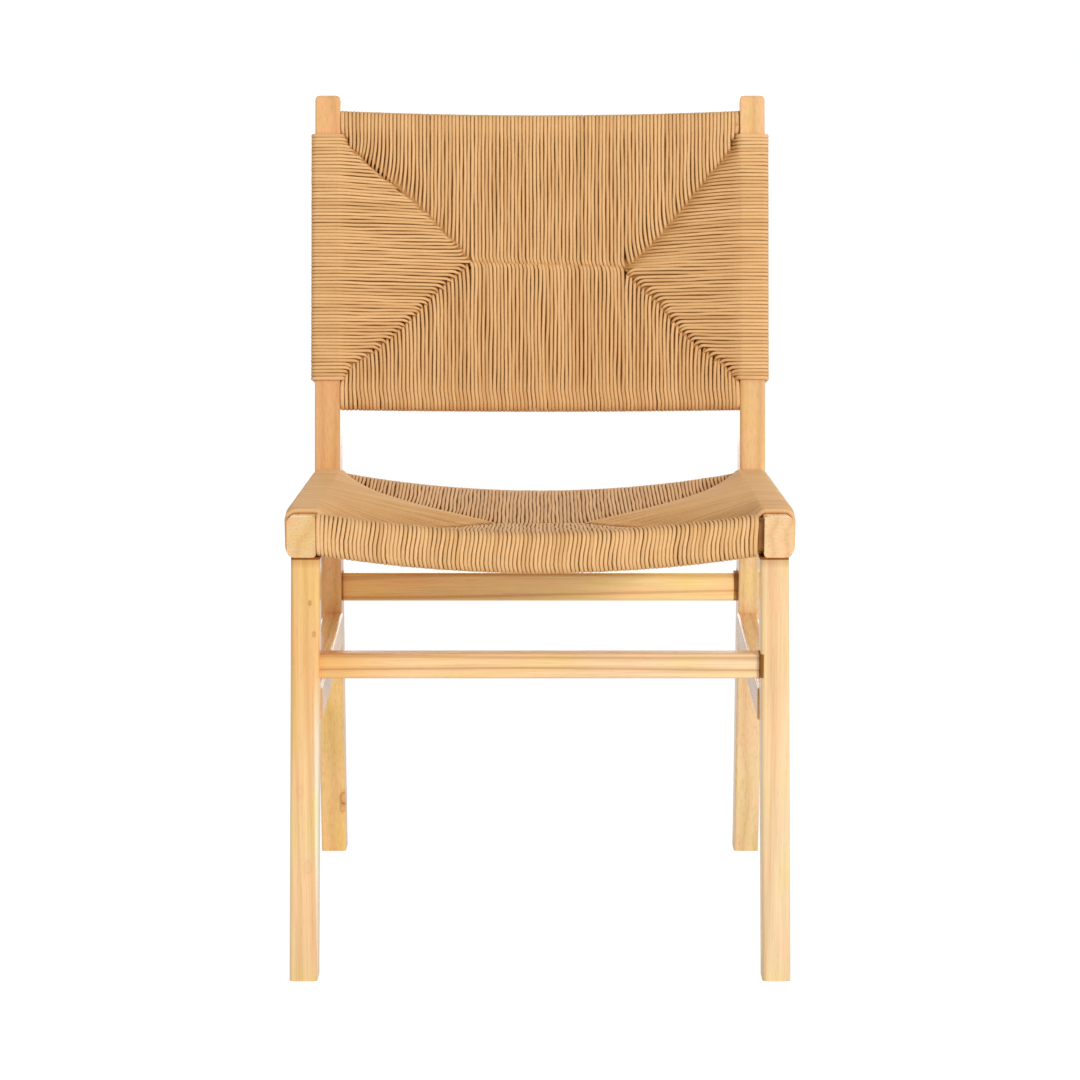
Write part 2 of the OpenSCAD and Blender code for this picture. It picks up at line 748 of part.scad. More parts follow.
// Back panel: its corners, and its depths along the mitre lines, which follow the bow of the rails
back_corner_x = post_in - cord_out - fan_gap;
back_corner_top = back_top_u - back_rail_h - cord_out - fan_gap;
back_corner_bottom = back_bottom_u + back_bottom_h + cord_out + fan_gap;
back_ridge_u = (back_corner_top + back_corner_bottom) / 2 - back_ridge_drop;
function dive(s) = back_dive * between(0.25, 1, s);
function back_face(x, s) = cord_out - dive(s) - bow_n(x, 0);
function back_rear_face(x, s) = dive(s) - cord_out - bow_n(x, back_rail_t);

function top_fan_spec(x, s) = [
    back_rail_h, back_rail_r, -bow_n(x, 0), -bow_n(x, back_rail_t),
    back_top_u - between(back_corner_top, back_ridge_u, s) - fan_gap,
    back_face(x, s), back_rear_face(x, s), back_rail_r
];
function bottom_fan_spec(x, s) = [
    back_bottom_h, back_rail_r, -bow_n(x, 0), -bow_n(x, back_rail_t),
    between(back_corner_bottom, back_ridge_u, s) - fan_gap - back_bottom_u,
    back_face(x, s), back_rear_face(x, s), back_rail_r
];
function post_fan_spec(u, s) =
    let (x = between(back_corner_x, back_ridge, s))
    [
        rear_leg_w, edge_r, 0, -post_back_n(u), post_out - x - fan_gap,
        back_face(x, s), back_rear_face(x, s), edge_r
    ];

function place_top(loop, x) = [for (p = loop) [x, -p.y, back_top_u - p.x]];
function place_bottom(loop, x) = [for (p = loop) [x, -p.y, back_bottom_u + p.x]];
function place_post(loop, u) = [for (p = loop) [post_out - p.x, -p.y, u]];

bottom_columns = along_rail(post_in - fan_gap, post_in - fan_gap, back_corner_x, back_ridge);
top_columns = backwards(bottom_columns);

// Columns of a post's fan, upwards: [place, share, spec]
post_columns = concat(
    [for (s = ramp) let (u = between(back_corner_bottom, back_ridge_u, s)) [u, s, post_fan_spec(u, s)]],
    [
        for (i = [len(ramp) - 2:-1:0])
        let (s = ramp[i], u = between(back_corner_top, back_ridge_u, s))
        [u, s, post_fan_spec(u, s)]
    ]
);

module back_top_fan() {
    on_back() sheet(
        [for (c = top_columns) place_top(strand_loop(top_fan_spec(c[0], c[1]), cord_out), c[0])],
        [for (c = top_columns) place_top(strand_loop(top_fan_spec(c[0], c[1]), cord_gap), c[0])]
    );
}

module back_bottom_fan() {
    on_back() sheet(
        [for (c = bottom_columns) place_bottom(strand_loop(bottom_fan_spec(c[0], c[1]), cord_out), c[0])],
        [for (c = bottom_columns) place_bottom(strand_loop(bottom_fan_spec(c[0], c[1]), cord_gap), c[0])]
    );
}

module back_post_fan() {
    on_back() sheet(
        [for (c = post_columns) place_post(strand_loop(c[2], cord_out), c[0])],
        [for (c = post_columns) place_post(strand_loop(c[2], cord_gap), c[0])]
    );
}

// Another long cord winds the whole back
module back_cord() {
    color("peru") {
        back_top_fan();
        back_bottom_fan();
        both_sides() back_post_fan();
    }
}

module back_card_top() {
    color("tan") on_back() loft([
        for (c = top_columns) if (c[1] >= card_start)
            place_top(card_loop(top_fan_spec(c[0], c[1])), c[0])
    ]);
}

module back_card_bottom() {
    color("tan") on_back() loft([
        for (c = bottom_columns) if (c[1] >= card_start)
            place_bottom(card_loop(bottom_fan_spec(c[0], c[1])), c[0])
    ]);
}

module back_card_right() {
    color("tan") on_back() loft([
        for (c = post_columns) if (c[1] >= card_start)
            place_post(card_loop(c[2]), c[0])
    ]);
}

module back_card_left() {
    mirror([1, 0, 0]) back_card_right();
}

// The paired wooden pieces; left and right are as seen from the front
module front_leg_right() {
    color("burlywood") front_leg();
}

module front_leg_left() {
    mirror([1, 0, 0]) front_leg_right();
}

module rear_leg_right() {
    color("burlywood") rear_leg();
}

module rear_leg_left() {
    mirror([1, 0, 0]) rear_leg_right();
}

module side_rail_right() {
    color("burlywood") side_rail();
}

module side_rail_left() {
    mirror([1, 0, 0]) side_rail_right();
}

module side_stretcher_right() {
    color("burlywood") side_stretcher();
}

module side_stretcher_left() {
    mirror([1, 0, 0]) side_stretcher_right();
}

module back_top_rail() {
    color("burlywood") bowed_rail(back_top_u - back_rail_h, back_rail_h);
}

module back_bottom_rail() {
    color("burlywood") bowed_rail(back_bottom_u, back_bottom_h);
}

module front_leg_dowels() {
    color("wheat") both_sides() front_leg_dowel_set(dowel_d);
}

module side_rail_dowels() {
    color("wheat") both_sides() side_rail_dowel_set(dowel_d);
}

module front_rail_dowels() {
    color("wheat") both_sides() front_rail_dowel_set(dowel_d);
}

module rear_rail_dowels() {
    color("wheat") both_sides() rear_rail_dowel_set(dowel_d);
}

front_leg_left();
front_leg_right();
rear_leg_left();
rear_leg_right();
side_rail_left();
side_rail_right();
front_seat_rail();
rear_seat_rail();
front_stretcher();
rear_stretcher();
side_stretcher_left();
side_stretcher_right();
back_top_rail();
back_bottom_rail();
front_leg_dowels();
side_rail_dowels();
front_rail_dowels();
rear_rail_dowels();
seat_cord();
back_cord();
seat_card_front();
seat_card_rear();
seat_card_left();
seat_card_right();
back_card_top();
back_card_bottom();
back_card_left();
back_card_right();
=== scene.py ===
# %% [markdown]
# # A chair wound with paper cord
# The chair has a light hardwood frame and two panels, a seat and a back, each wound from one long
# paper cord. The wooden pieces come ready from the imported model, at their real size, and only have
# to look like wood. The panels are plain sheets there, so here the cord is laid strand by strand.

import math

import bpy
import numpy as np
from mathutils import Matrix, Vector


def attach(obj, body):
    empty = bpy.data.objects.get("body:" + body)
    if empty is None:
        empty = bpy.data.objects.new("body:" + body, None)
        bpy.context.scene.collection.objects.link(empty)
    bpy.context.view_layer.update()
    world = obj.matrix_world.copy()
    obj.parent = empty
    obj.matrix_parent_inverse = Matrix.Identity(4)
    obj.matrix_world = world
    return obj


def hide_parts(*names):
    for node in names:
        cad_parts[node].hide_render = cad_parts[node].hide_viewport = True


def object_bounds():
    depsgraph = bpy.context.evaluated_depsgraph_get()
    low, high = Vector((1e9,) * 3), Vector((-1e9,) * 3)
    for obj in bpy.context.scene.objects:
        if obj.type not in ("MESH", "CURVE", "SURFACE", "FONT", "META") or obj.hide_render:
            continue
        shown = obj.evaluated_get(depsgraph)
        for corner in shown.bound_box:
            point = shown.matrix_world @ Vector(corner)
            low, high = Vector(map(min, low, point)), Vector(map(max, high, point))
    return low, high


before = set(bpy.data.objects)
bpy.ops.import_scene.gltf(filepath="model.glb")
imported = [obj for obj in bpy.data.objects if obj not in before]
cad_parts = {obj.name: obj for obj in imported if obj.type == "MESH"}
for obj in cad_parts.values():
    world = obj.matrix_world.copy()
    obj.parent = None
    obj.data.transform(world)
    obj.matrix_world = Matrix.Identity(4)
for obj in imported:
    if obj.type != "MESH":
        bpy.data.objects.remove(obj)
cad_box = [list(corner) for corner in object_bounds()]
scene = bpy.context.scene
print("chair box:", cad_box)

# %% [markdown]
# ## Camera
# The photograph is taken from the front, a little above the back rest, with a long lens. The
# distance, the height and the tilt were worked out from the legs, the rails and the seat.

# %% Camera
LENS_MM, SENSOR_MM, TILT = 98.31, 36.0, 9.39
camera_data = bpy.data.cameras.new("camera")
camera_data.lens = LENS_MM
camera_data.sensor_width = SENSOR_MM
camera = bpy.data.objects.new("camera", camera_data)
scene.collection.objects.link(camera)
camera.location = (0.0, -2.9766, 0.879)
camera.rotation_euler = (math.radians(90 - TILT), 0.0, 0.0)
scene.camera = camera
print("camera at", tuple(camera.location))

# %% [markdown]
# ## Light and floor
# In the photograph the right legs shade the right ends of the stretchers, and the seat shades the
# left rear leg down to the side stretcher. So the main lamp stands well to the right of the camera,
# low enough to shine in under the seat. An even white world fills the rest. The floor and the
# background are white to the camera, and the floor still takes the chair's soft shadow.


# %% Small helpers for node trees
def feed(tree, made, sockets):
    """Gives each socket a constant, or a link if its value is another node's socket."""
    for socket, value in sockets.items():
        if isinstance(value, bpy.types.NodeSocket):
            tree.links.new(value, made.inputs[socket])
        else:
            made.inputs[socket].default_value = value


def node(tree, kind, sockets=None, **settings):
    made = tree.nodes.new(kind)
    for key, value in settings.items():
        setattr(made, key, value)
    feed(tree, made, sockets or {})
    return made


def maths(tree, kind, *values):
    return node(tree, "ShaderNodeMath", dict(enumerate(values)), operation=kind).outputs[0]


def vectors(tree, kind, *values):
    return node(tree, "ShaderNodeVectorMath", dict(enumerate(values)), operation=kind)


def between(tree, value, low, high, start=0.0, stop=1.0):
    """Goes from start to stop while the value goes from low to high."""
    sockets = dict(enumerate((value, low, high, start, stop)))
    return node(tree, "ShaderNodeMapRange", sockets).outputs[0]


def mix_colour(tree, kind, factor, a, b):
    sockets = {0: factor, 6: a, 7: b}
    return node(tree, "ShaderNodeMix", sockets, data_type="RGBA", blend_type=kind).outputs[2]


def ramp(tree, factor, stops):
    made = node(tree, "ShaderNodeValToRGB", {0: factor})
    elements = made.color_ramp.elements
    for i, (place, colour) in enumerate(stops):
        stop = elements[i] if i < 2 else elements.new(place)
        stop.position = place
        stop.color = (*colour, 1.0)
    return made.outputs["Color"]


def noise(tree, place, scale, detail, output="Fac"):
    sockets = {"Vector": place, "Scale": scale, "Detail": detail}
    return node(tree, "ShaderNodeTexNoise", sockets).outputs[output]


def stretched(tree, place, scale, shift=(0.0, 0.0, 0.0)):
    sockets = {"Vector": place, "Scale": scale, "Location": shift}
    return node(tree, "ShaderNodeMapping", sockets).outputs[0]


def empty_tree(owner):
    owner.use_nodes = True
    owner.node_tree.nodes.clear()
    return owner.node_tree


def new_material(name):
    material = bpy.data.materials.new(name)
    material.use_nodes = True
    return material, material.node_tree, material.node_tree.nodes["Principled BSDF"]


# %% Lamps
def area_lamp(name, place, target, size, watts, tint):
    data = bpy.data.lights.new(name, "AREA")
    data.shape = "DISK"
    data.size = size
    data.energy = watts
    data.color = tint
    lamp = bpy.data.objects.new(name, data)
    scene.collection.objects.link(lamp)
    lamp.location = place
    x, y, z = (there - here for here, there in zip(place, target))
    lamp.rotation_euler = (math.atan2(math.hypot(x, y), -z), 0.0, math.atan2(-x, y))
    return lamp


key = area_lamp("key_lamp", (3.5, -5.2, 2.24), (0.0, 0.0, 0.45), 1.0, 185.0,
                (1.0, 0.985, 0.965))
key.visible_glossy = False  # the smooth tops of the stretchers would mirror it as white patches
area_lamp("fill_lamp", (-1.8, -2.2, 2.2), (0.0, 0.0, 0.5), 2.0, 8.0, (0.98, 0.99, 1.0))
area_lamp("backdrop_lamp", (0.0, 3.6, 1.1), (0.0, 0.0, 0.6), 3.0, 28.0, (1.0, 1.0, 1.0))
print("lamps: key, fill and backdrop")

# %% White world
# The camera and the glossy reflections see plain white; the light on the chair is softer.
world = bpy.data.worlds.new("studio")
scene.world = world
tree = empty_tree(world)
even = node(tree, "ShaderNodeBackground", {"Color": (1.0, 0.99, 0.98, 1.0), "Strength": 0.55})
white = node(tree, "ShaderNodeBackground", {"Color": (1.0, 1.0, 1.0, 1.0), "Strength": 1.02})
rays = node(tree, "ShaderNodeLightPath").outputs
seen = maths(tree, "MAXIMUM", rays["Is Camera Ray"], rays["Is Glossy Ray"])
either = node(tree, "ShaderNodeMixShader", {0: seen, 1: even.outputs[0], 2: white.outputs[0]})
node(tree, "ShaderNodeOutputWorld", {"Surface": either.outputs[0]})
scene.view_settings.view_transform = "Standard"
print("world:", world.name)

# %% Floor
# To the camera it is nearly all glow; the small rest is plain paper, which takes the shadow.
GLOW_SHARE = 0.96
bpy.ops.mesh.primitive_plane_add(size=400.0, location=(0.0, 0.0, 0.0))
floor = bpy.context.object
floor.name = "floor"
paper = bpy.data.materials.new("studio_floor")
tree = empty_tree(paper)
diffuse = node(tree, "ShaderNodeBsdfDiffuse", {"Color": (0.92, 0.92, 0.92, 1.0)})
glow = node(tree, "ShaderNodeEmission", {"Strength": 1.06})
rays = node(tree, "ShaderNodeLightPath").outputs
share = maths(tree, "MULTIPLY", rays["Is Camera Ray"], GLOW_SHARE)
either = node(tree, "ShaderNodeMixShader", {0: share, 1: diffuse.outputs[0], 2: glow.outputs[0]})
node(tree, "ShaderNodeOutputMaterial", {"Surface": either.outputs[0]})
floor.data.materials.append(paper)
print("floor:", floor.name)

# %% [markdown]
# ## Wood
# The frame is light hardwood under a thin satin finish. Its grain runs along each piece: wide soft
# bands, fine fibres and short dark pores. One node group draws the grain along Z of whatever
# coordinates it is given, and every piece turns those coordinates so that its own length is Z.


# %% Wood grain group
def new_group(name, inputs, outputs):
    group = bpy.data.node_groups.new(name, "ShaderNodeTree")
    for in_out, sockets in (("INPUT", inputs), ("OUTPUT", outputs)):
        for label, kind in sockets.items():
            group.interface.new_socket(label, in_out=in_out, socket_type=kind)
    return group, node(group, "NodeGroupInput").outputs


def build_grain():
    group, given = new_group(
        "wood_grain",
        {"Vector": "NodeSocketVector", "Light": "NodeSocketColor", "Dark": "NodeSocketColor",
         "Figure": "NodeSocketFloat", "Lines": "NodeSocketFloat"},
        {"Color": "NodeSocketColor", "Roughness": "NodeSocketFloat", "Height": "NodeSocketFloat"},
    )
    place = given["Vector"]
    # Wide bands, which wander a little.
    drawn_out = stretched(group, place, (1.0, 1.0, 0.06))
    drift = noise(group, drawn_out, 14.0, 2.0, "Color")
    nudge = vectors(group, "MULTIPLY", drift, (0.06, 0.06, 0.0)).outputs[0]
    rings = node(group, "ShaderNodeTexWave", {
        "Vector": vectors(group, "ADD", drawn_out, nudge).outputs[0], "Scale": 16.0,
        "Distortion": 2.2, "Detail": 2.0, "Detail Scale": 1.4,
    }, wave_type="BANDS", bands_direction="X").outputs["Fac"]
    band = ramp(group, rings, [(0.15, (0, 0, 0)), (0.95, (1, 1, 1))])
    amount = maths(group, "MULTIPLY", band, given["Figure"])
    base = mix_colour(group, "MIX", amount, given["Light"], given["Dark"])
    # Fine fibres, and soft clouds across the whole piece.
    fibre = noise(group, stretched(group, place, (1.0, 1.0, 0.025)), 520.0, 3.0)
    streak = ramp(group, fibre, [(0.3, (0.9, 0.88, 0.85)), (0.72, (1.06, 1.05, 1.03))])
    base = mix_colour(group, "MULTIPLY", 0.8, base, streak)
    cloud = noise(group, place, 7.0, 1.0)
    soft = ramp(group, cloud, [(0.3, (0.94, 0.92, 0.9)), (0.7, (1.04, 1.03, 1.0))])
    base = mix_colour(group, "MULTIPLY", 0.9, base, soft)
    # A thin dark line on the edge of each band.
    edge = maths(group, "MULTIPLY", between(group, rings, 0.86, 0.97), given["Lines"])
    base = mix_colour(group, "MULTIPLY", edge, base, (0.62, 0.45, 0.3, 1.0))
    # Pink and yellow patches.
    hue = noise(group, stretched(group, place, (1.0, 1.0, 0.3), (3.0, 1.0, 2.0)), 48.0, 1.5)
    hues = [(0.32, (1.04, 0.96, 0.98)), (0.5, (1.0, 1.0, 1.0)), (0.66, (0.99, 1.0, 0.84))]
    patch = ramp(group, hue, hues)
    base = mix_colour(group, "MULTIPLY", 1.0, base, patch)
    # Short dark pores, which are dents too.
    long_cells = stretched(group, place, (1.0, 1.0, 0.07))
    cells = node(group, "ShaderNodeTexVoronoi", {"Vector": long_cells, "Scale": 620.0})
    pore = between(group, cells.outputs["Distance"], 0.08, 0.22, 1.0, 0.0)
    dots = maths(group, "MULTIPLY", pore, 0.22)
    base = mix_colour(group, "MULTIPLY", dots, base, (0.45, 0.33, 0.22, 1.0))
    node(group, "NodeGroupOutput", {
        "Color": base,
        "Roughness": between(group, fibre, 0.3, 0.7, 0.24, 0.34),
        "Height": maths(group, "SUBTRACT", maths(group, "MULTIPLY", fibre, 0.6), pore),
    })
    return group


grain_group = build_grain()
print("grain nodes:", len(grain_group.nodes))

# %% [markdown]
# Some marks belong to one piece alone: a knot, painted shade where a piece meets its neighbour, and
# painted light and shade that change slowly along a piece. Each has its place on the piece, in the
# chair's own coordinates. Where shade is painted, the wood is also made rougher and loses its coat.

# %% Marks on single pieces
# Colour of the painted shade where pieces meet and beside the cord.
PAINTED_SHADE = (0.38, 0.21, 0.06, 1.0)
SOFT_END, SOFT_FACE = 0.9, 0.6  # over how many millimetres the edge of a painted shade fades
KNOT_STRETCH = 0.6  # a knot is longer along the leg
KNOT_RINGS = [(0.0, (0.8, 0.66, 0.5)), (0.35, (0.78, 0.6, 0.42)), (0.5, (0.45, 0.27, 0.14)),
              (0.62, (0.86, 0.74, 0.6)), (1.0, (1.0, 1.0, 1.0))]
RAIL_FALL = 0.0361  # the undersides of the side rails fall by this much of their length
X, Y, Z = range(3)


def fade(tree, colour, at, first, last, ranges):
    """Changes from the first tint to the last between two places, in metres, on each axis."""
    share = 1.0
    for axis, start, stop in ranges:
        share = maths(tree, "MULTIPLY", between(tree, at[axis], start, stop), share)
    tint = mix_colour(tree, "MIX", share, (*first, 1.0), (*last, 1.0))
    return mix_colour(tree, "MULTIPLY", 1.0, colour, tint)


def knots(tree, colour, at, marks):
    """Small knots that go through a leg from front to back."""
    for x, z, size, depth in marks:
        side = maths(tree, "ADD", at[X], -x / 1000)
        up = maths(tree, "MULTIPLY_ADD", at[Z], KNOT_STRETCH, -KNOT_STRETCH * z / 1000)
        flat = node(tree, "ShaderNodeCombineXYZ", {0: side, 1: up}).outputs[0]
        away = vectors(tree, "LENGTH", flat).outputs["Value"]
        ring = ramp(tree, maths(tree, "MULTIPLY", away, 1000.0 / size), KNOT_RINGS)
        colour = mix_colour(tree, "MULTIPLY", depth, colour, ring)
    return colour


def joint_shade(tree, colour, at):
    """Paints the shadow of the side rail's overhang on a front leg below it, and gives the mask of
    the painted shade in the joint under the rail.
    """
    height = maths(tree, "MULTIPLY_ADD", at[Y], RAIL_FALL, at[Z])
    # Painted shadow of the rail's overhang.
    wear_and_shade = between(tree, height, 0.3925, 0.3985, 0.0, 0.8)
    colour = mix_colour(tree, "MULTIPLY", wear_and_shade, colour, (0.78, 0.68, 0.56, 1.0))
    return colour, [between(tree, height, 0.4003, 0.4013)]


def end_masks(tree, at, ends):
    """Painted shade on the ends of a stretcher, where the legs shadow them."""
    masks = []
    for x, width, depth in ends:
        inner = x - math.copysign(width, x)
        dark = inner + math.copysign(SOFT_END, x)
        masks.append(between(tree, at[X], inner / 1000, dark / 1000, 0.0, depth))
    return masks


def face_masks(tree, at, faces):
    """Painted shade on the inner face of a right leg, beside a stretcher or the cord."""
    masks = []
    for x, low, high in faces:
        beside = between(tree, at[X], (x + 0.1) / 1000, (x + 0.6) / 1000, 1.0, 0.0)
        above = between(tree, at[Z], low / 1000, (low + SOFT_FACE) / 1000)
        below = between(tree, at[Z], (high - SOFT_FACE) / 1000, high / 1000, 1.0, 0.0)
        masks.append(maths(tree, "MULTIPLY", beside, maths(tree, "MULTIPLY", above, below)))
    return masks


# %% Which way the grain runs in each piece, and its tones
TURNS = {
    "x": (0.0, math.radians(90), 0.0), "y": (math.radians(90), 0.0, 0.0), "z": (0.0, 0.0, 0.0),
}
FRAME = {
    "front_leg_left": "z", "front_leg_right": "z", "rear_leg_left": "z", "rear_leg_right": "z",
    "side_rail_left": "y", "side_rail_right": "y", "front_seat_rail": "x", "rear_seat_rail": "x",
    "front_stretcher": "x", "rear_stretcher": "x", "side_stretcher_left": "y",
    "side_stretcher_right": "y", "back_top_rail": "x", "back_bottom_rail": "x",
}
WRAPPED = ("front_seat_rail", "rear_seat_rail", "back_top_rail", "back_bottom_rail")
HONEY = (0.90, 0.60, 0.29)
AMBER = (0.72, 0.40, 0.15)
PALE = (0.86, 0.60, 0.32)
# The wrapped rails are painted very dark: painted shade in the narrow gap beside the right block,
# where the front fan stops short of it.
RAIL_PAINTED_SHADE = (0.33, 0.155, 0.045)
RAIL_PAINTED_SHADE_DEEP = (0.23, 0.10, 0.03)
# Tones of single pieces, partly painted light: the right-hand pieces are lighter than the left-hand
# ones, as the key lamp on the right lights them, and the stretchers are lighter too.
TONES = {
    "rear_leg_left": ((0.92, 0.58, 0.255), AMBER),
    "rear_leg_right": ((0.96, 0.65, 0.33), AMBER),
    "rear_stretcher": ((1.0, 0.69, 0.29), (0.86, 0.52, 0.2)),
    "front_leg_right": ((0.93, 0.64, 0.335), AMBER),
    "front_stretcher": ((0.96, 0.65, 0.34), AMBER),
    "side_rail_right": ((0.92, 0.62, 0.33), AMBER),
    "side_rail_left": ((0.86, 0.58, 0.29), (0.78, 0.42, 0.12)),
}
# Ends with painted shade where the legs shadow them: x, width and depth of colour, in millimetres.
ENDS = {
    "front_stretcher": [(210.5, 4.1, 1.0), (-210.5, 1.6, 0.6)],
    "rear_stretcher": [(213.5, 5.0, 0.9), (-213.5, 2.0, 0.7)],
}
# Inner faces with painted shade: x, lowest and highest z, in millimetres.
FACES = {
    "front_leg_right": [(210.5, 296.5, 320.0)],
    "rear_leg_right": [(213.5, 296.0, 326.5), (213.0, 784.0, 817.5)],
}
# Knots: x, z and size in millimetres, and depth of colour.
MARKS = {
    "front_leg_left": [(-216, 369, 2.4, 0.85), (-228, 187, 6, 0.15), (-221, 113, 7, 0.15),
                       (-212.5, 339, 2.6, 0.7)],
    "rear_leg_left": [(-217, 64, 8, 0.8), (-218.5, 53, 6, 0.6)],
}
# Painted light and shade: two tints, and for each axis where the first one ends and the last one
# starts. They paint the lower legs lighter, the seat's shadow on the left rear leg, light that grows
# towards the right along the stretchers, and a highlight on the front left leg's inner rounded edge.
EVEN = (1.0, 1.0, 1.0)
LIGHT_AND_SHADE_TINTS = {
    "front_leg_left": [
        ((1.04, 1.11, 1.22), (1.0, 0.95, 0.78), [(Z, 0.14, 0.32)]),
        (EVEN, (1.02, 1.36, 2.1), [(X, -0.2145, -0.213), (Y, -0.243, -0.247), (Z, 0.3, 0.24)]),
    ],
    "front_leg_right": [((1.05, 1.17, 1.36), (1.0, 1.03, 1.09), [(Z, 0.14, 0.32)])],
    "rear_leg_left": [((1.06, 1.13, 1.08), (0.96, 0.84, 0.77), [(Z, 0.18, 0.33)])],
    "rear_leg_right": [((1.03, 1.16, 1.3), (0.93, 0.86, 0.76), [(Z, 0.30, 0.47)])],
    "front_stretcher": [
        ((0.94, 0.8, 0.58), EVEN, [(X, -0.19, -0.12)]),
        (EVEN, (1.04, 1.13, 1.34), [(X, -0.02, 0.15)]),
    ],
    "rear_stretcher": [((0.97, 0.84, 0.64), (1.06, 1.2, 1.38), [(X, -0.18, 0.14)])],
}
print("tones for", len(FRAME), "pieces")

# %% One wood material per piece
COAT, COAT_ROUGH, BARE_ROUGH = 0.5, 0.14, 0.85
PAINTED_SHADE_ROUGH = 0.6  # how much rougher the wood is under painted shade
SHIFT = (0.37, 0.61, 0.83)  # from piece to piece, so that no two show the same grain
STRIPED, PLAIN = (0.4, 0.5), (0.3, 0.12)  # strength of the bands and of their lines


def wood(piece, along, tones, shift, figure=0.3, lines=0.1):
    """Wood for one piece, with the marks that the tables above give it."""
    material, tree, shader = new_material("wood_" + piece)
    place = node(tree, "ShaderNodeTexCoord").outputs["Object"]
    turn = node(tree, "ShaderNodeMapping", {
        "Vector": place, "Rotation": TURNS[along], "Location": shift,
    })
    light, dark = tones
    grain = node(tree, "ShaderNodeGroup", {
        "Vector": turn.outputs[0], "Light": (*light, 1.0), "Dark": (*dark, 1.0), "Figure": figure,
        "Lines": lines,
    }, node_tree=grain_group)
    at = node(tree, "ShaderNodeSeparateXYZ", {0: place}).outputs
    colour, shade_masks = grain.outputs["Color"], []
    # Painted light and shade along the piece.
    for tint in LIGHT_AND_SHADE_TINTS.get(piece, ()):
        colour = fade(tree, colour, at, *tint)
    if piece.startswith("front_leg"):
        colour, shade_masks = joint_shade(tree, colour, at)
    colour = knots(tree, colour, at, MARKS.get(piece, ()))
    shade_masks += end_masks(tree, at, ENDS.get(piece, ()))
    shade_masks += face_masks(tree, at, FACES.get(piece, ()))
    # Painted shade darkens the wood under each mask.
    for shade_mask in shade_masks:
        colour = mix_colour(tree, "MULTIPLY", shade_mask, colour, PAINTED_SHADE)
    bump = node(tree, "ShaderNodeBump", {
        "Height": grain.outputs["Height"], "Strength": 0.12, "Distance": 0.0004,
    })
    feed(tree, shader, {"Base Color": colour, "Normal": bump.outputs[0]})
    # The wrapped rails stay rough and uncoated under their painted shade.
    if piece in WRAPPED:
        feed(tree, shader, {"Roughness": BARE_ROUGH})
        return material
    rough, coat = grain.outputs["Roughness"], COAT
    # Under painted shade the wood is rougher and loses its coat.
    if shade_masks:
        dull = shade_masks[0]
        for shade_mask in shade_masks[1:]:
            dull = maths(tree, "MAXIMUM", dull, shade_mask)
        rough = maths(tree, "MULTIPLY_ADD", dull, PAINTED_SHADE_ROUGH, rough)
        coat = maths(tree, "MULTIPLY_ADD", dull, -COAT, COAT)
    feed(tree, shader, {"Roughness": rough, "Coat Weight": coat, "Coat Roughness": COAT_ROUGH})
    return material


def dress(piece, finish):
    piece.data.materials.clear()
    piece.data.materials.append(finish)


for number, (name, along) in enumerate(FRAME.items()):
    tones = (RAIL_PAINTED_SHADE, RAIL_PAINTED_SHADE_DEEP) if name in WRAPPED else TONES.get(name, (HONEY, AMBER))
    shift = tuple(step * number for step in SHIFT)
    finish = wood(name, along, tones, shift, *(STRIPED if "stretcher" in name else PLAIN))
    dress(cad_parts[name], finish)
print("wooden pieces:", len(FRAME))

# %% Dowels and card
dowel_wood = wood("dowels", "z", (PALE, HONEY), (5.0, 3.0, 1.0))
card, tree, shader = new_material("folded_card")
place = node(tree, "ShaderNodeTexCoord").outputs["Object"]
flecks = noise(tree, place, 260.0, 4.0)
tone = ramp(tree, flecks, [(0.3, (0.46, 0.22, 0.07)), (0.7, (0.6, 0.31, 0.11))])
feed(tree, shader, {"Base Color": tone, "Roughness": 0.9})
for name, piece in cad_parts.items():
    if "dowels" in name:
        dress(piece, dowel_wood)
    elif "card" in name:
        dress(piece, card)
print("dowels and card dressed")

# %% [markdown]
# ## Cord
# Paper cord is twisted from strips of paper and waxed. It is stiff and nearly matt and pale gold on
# its crowns; the grooves between the strands are painted dark brown, as painted shade. Its look
# comes from three things that each strand stores: a UV map that runs round and along it, a tone of
# its own, and a crown value that is 1 on the outside of the winding and falls to 0 between the
# strands.

# %% Cord material
# Colours from the bottom of a groove, over its sides, to the crown; the dark ones are painted shade
# in the grooves.
CORD_COLOURS = [(0.0, (0.64, 0.27, 0.06)), (0.25, (0.31, 0.115, 0.02)), (0.6, (0.62, 0.335, 0.12)),
                (0.95, (0.85, 0.525, 0.25))]
CORD_TINTS = [(0.2, (0.88, 0.83, 0.77)), (0.5, (0.99, 0.98, 0.97)), (0.8, (1.05, 1.07, 1.1))]
cord_finish, tree, shader = new_material("paper_cord")
place = node(tree, "ShaderNodeTexCoord").outputs["Object"]
round_and_along = node(tree, "ShaderNodeUVMap", uv_map="cord").outputs[0]
tone = node(tree, "ShaderNodeAttribute", attribute_name="tone").outputs["Fac"]
crown = node(tree, "ShaderNodeAttribute", attribute_name="crown").outputs["Fac"]
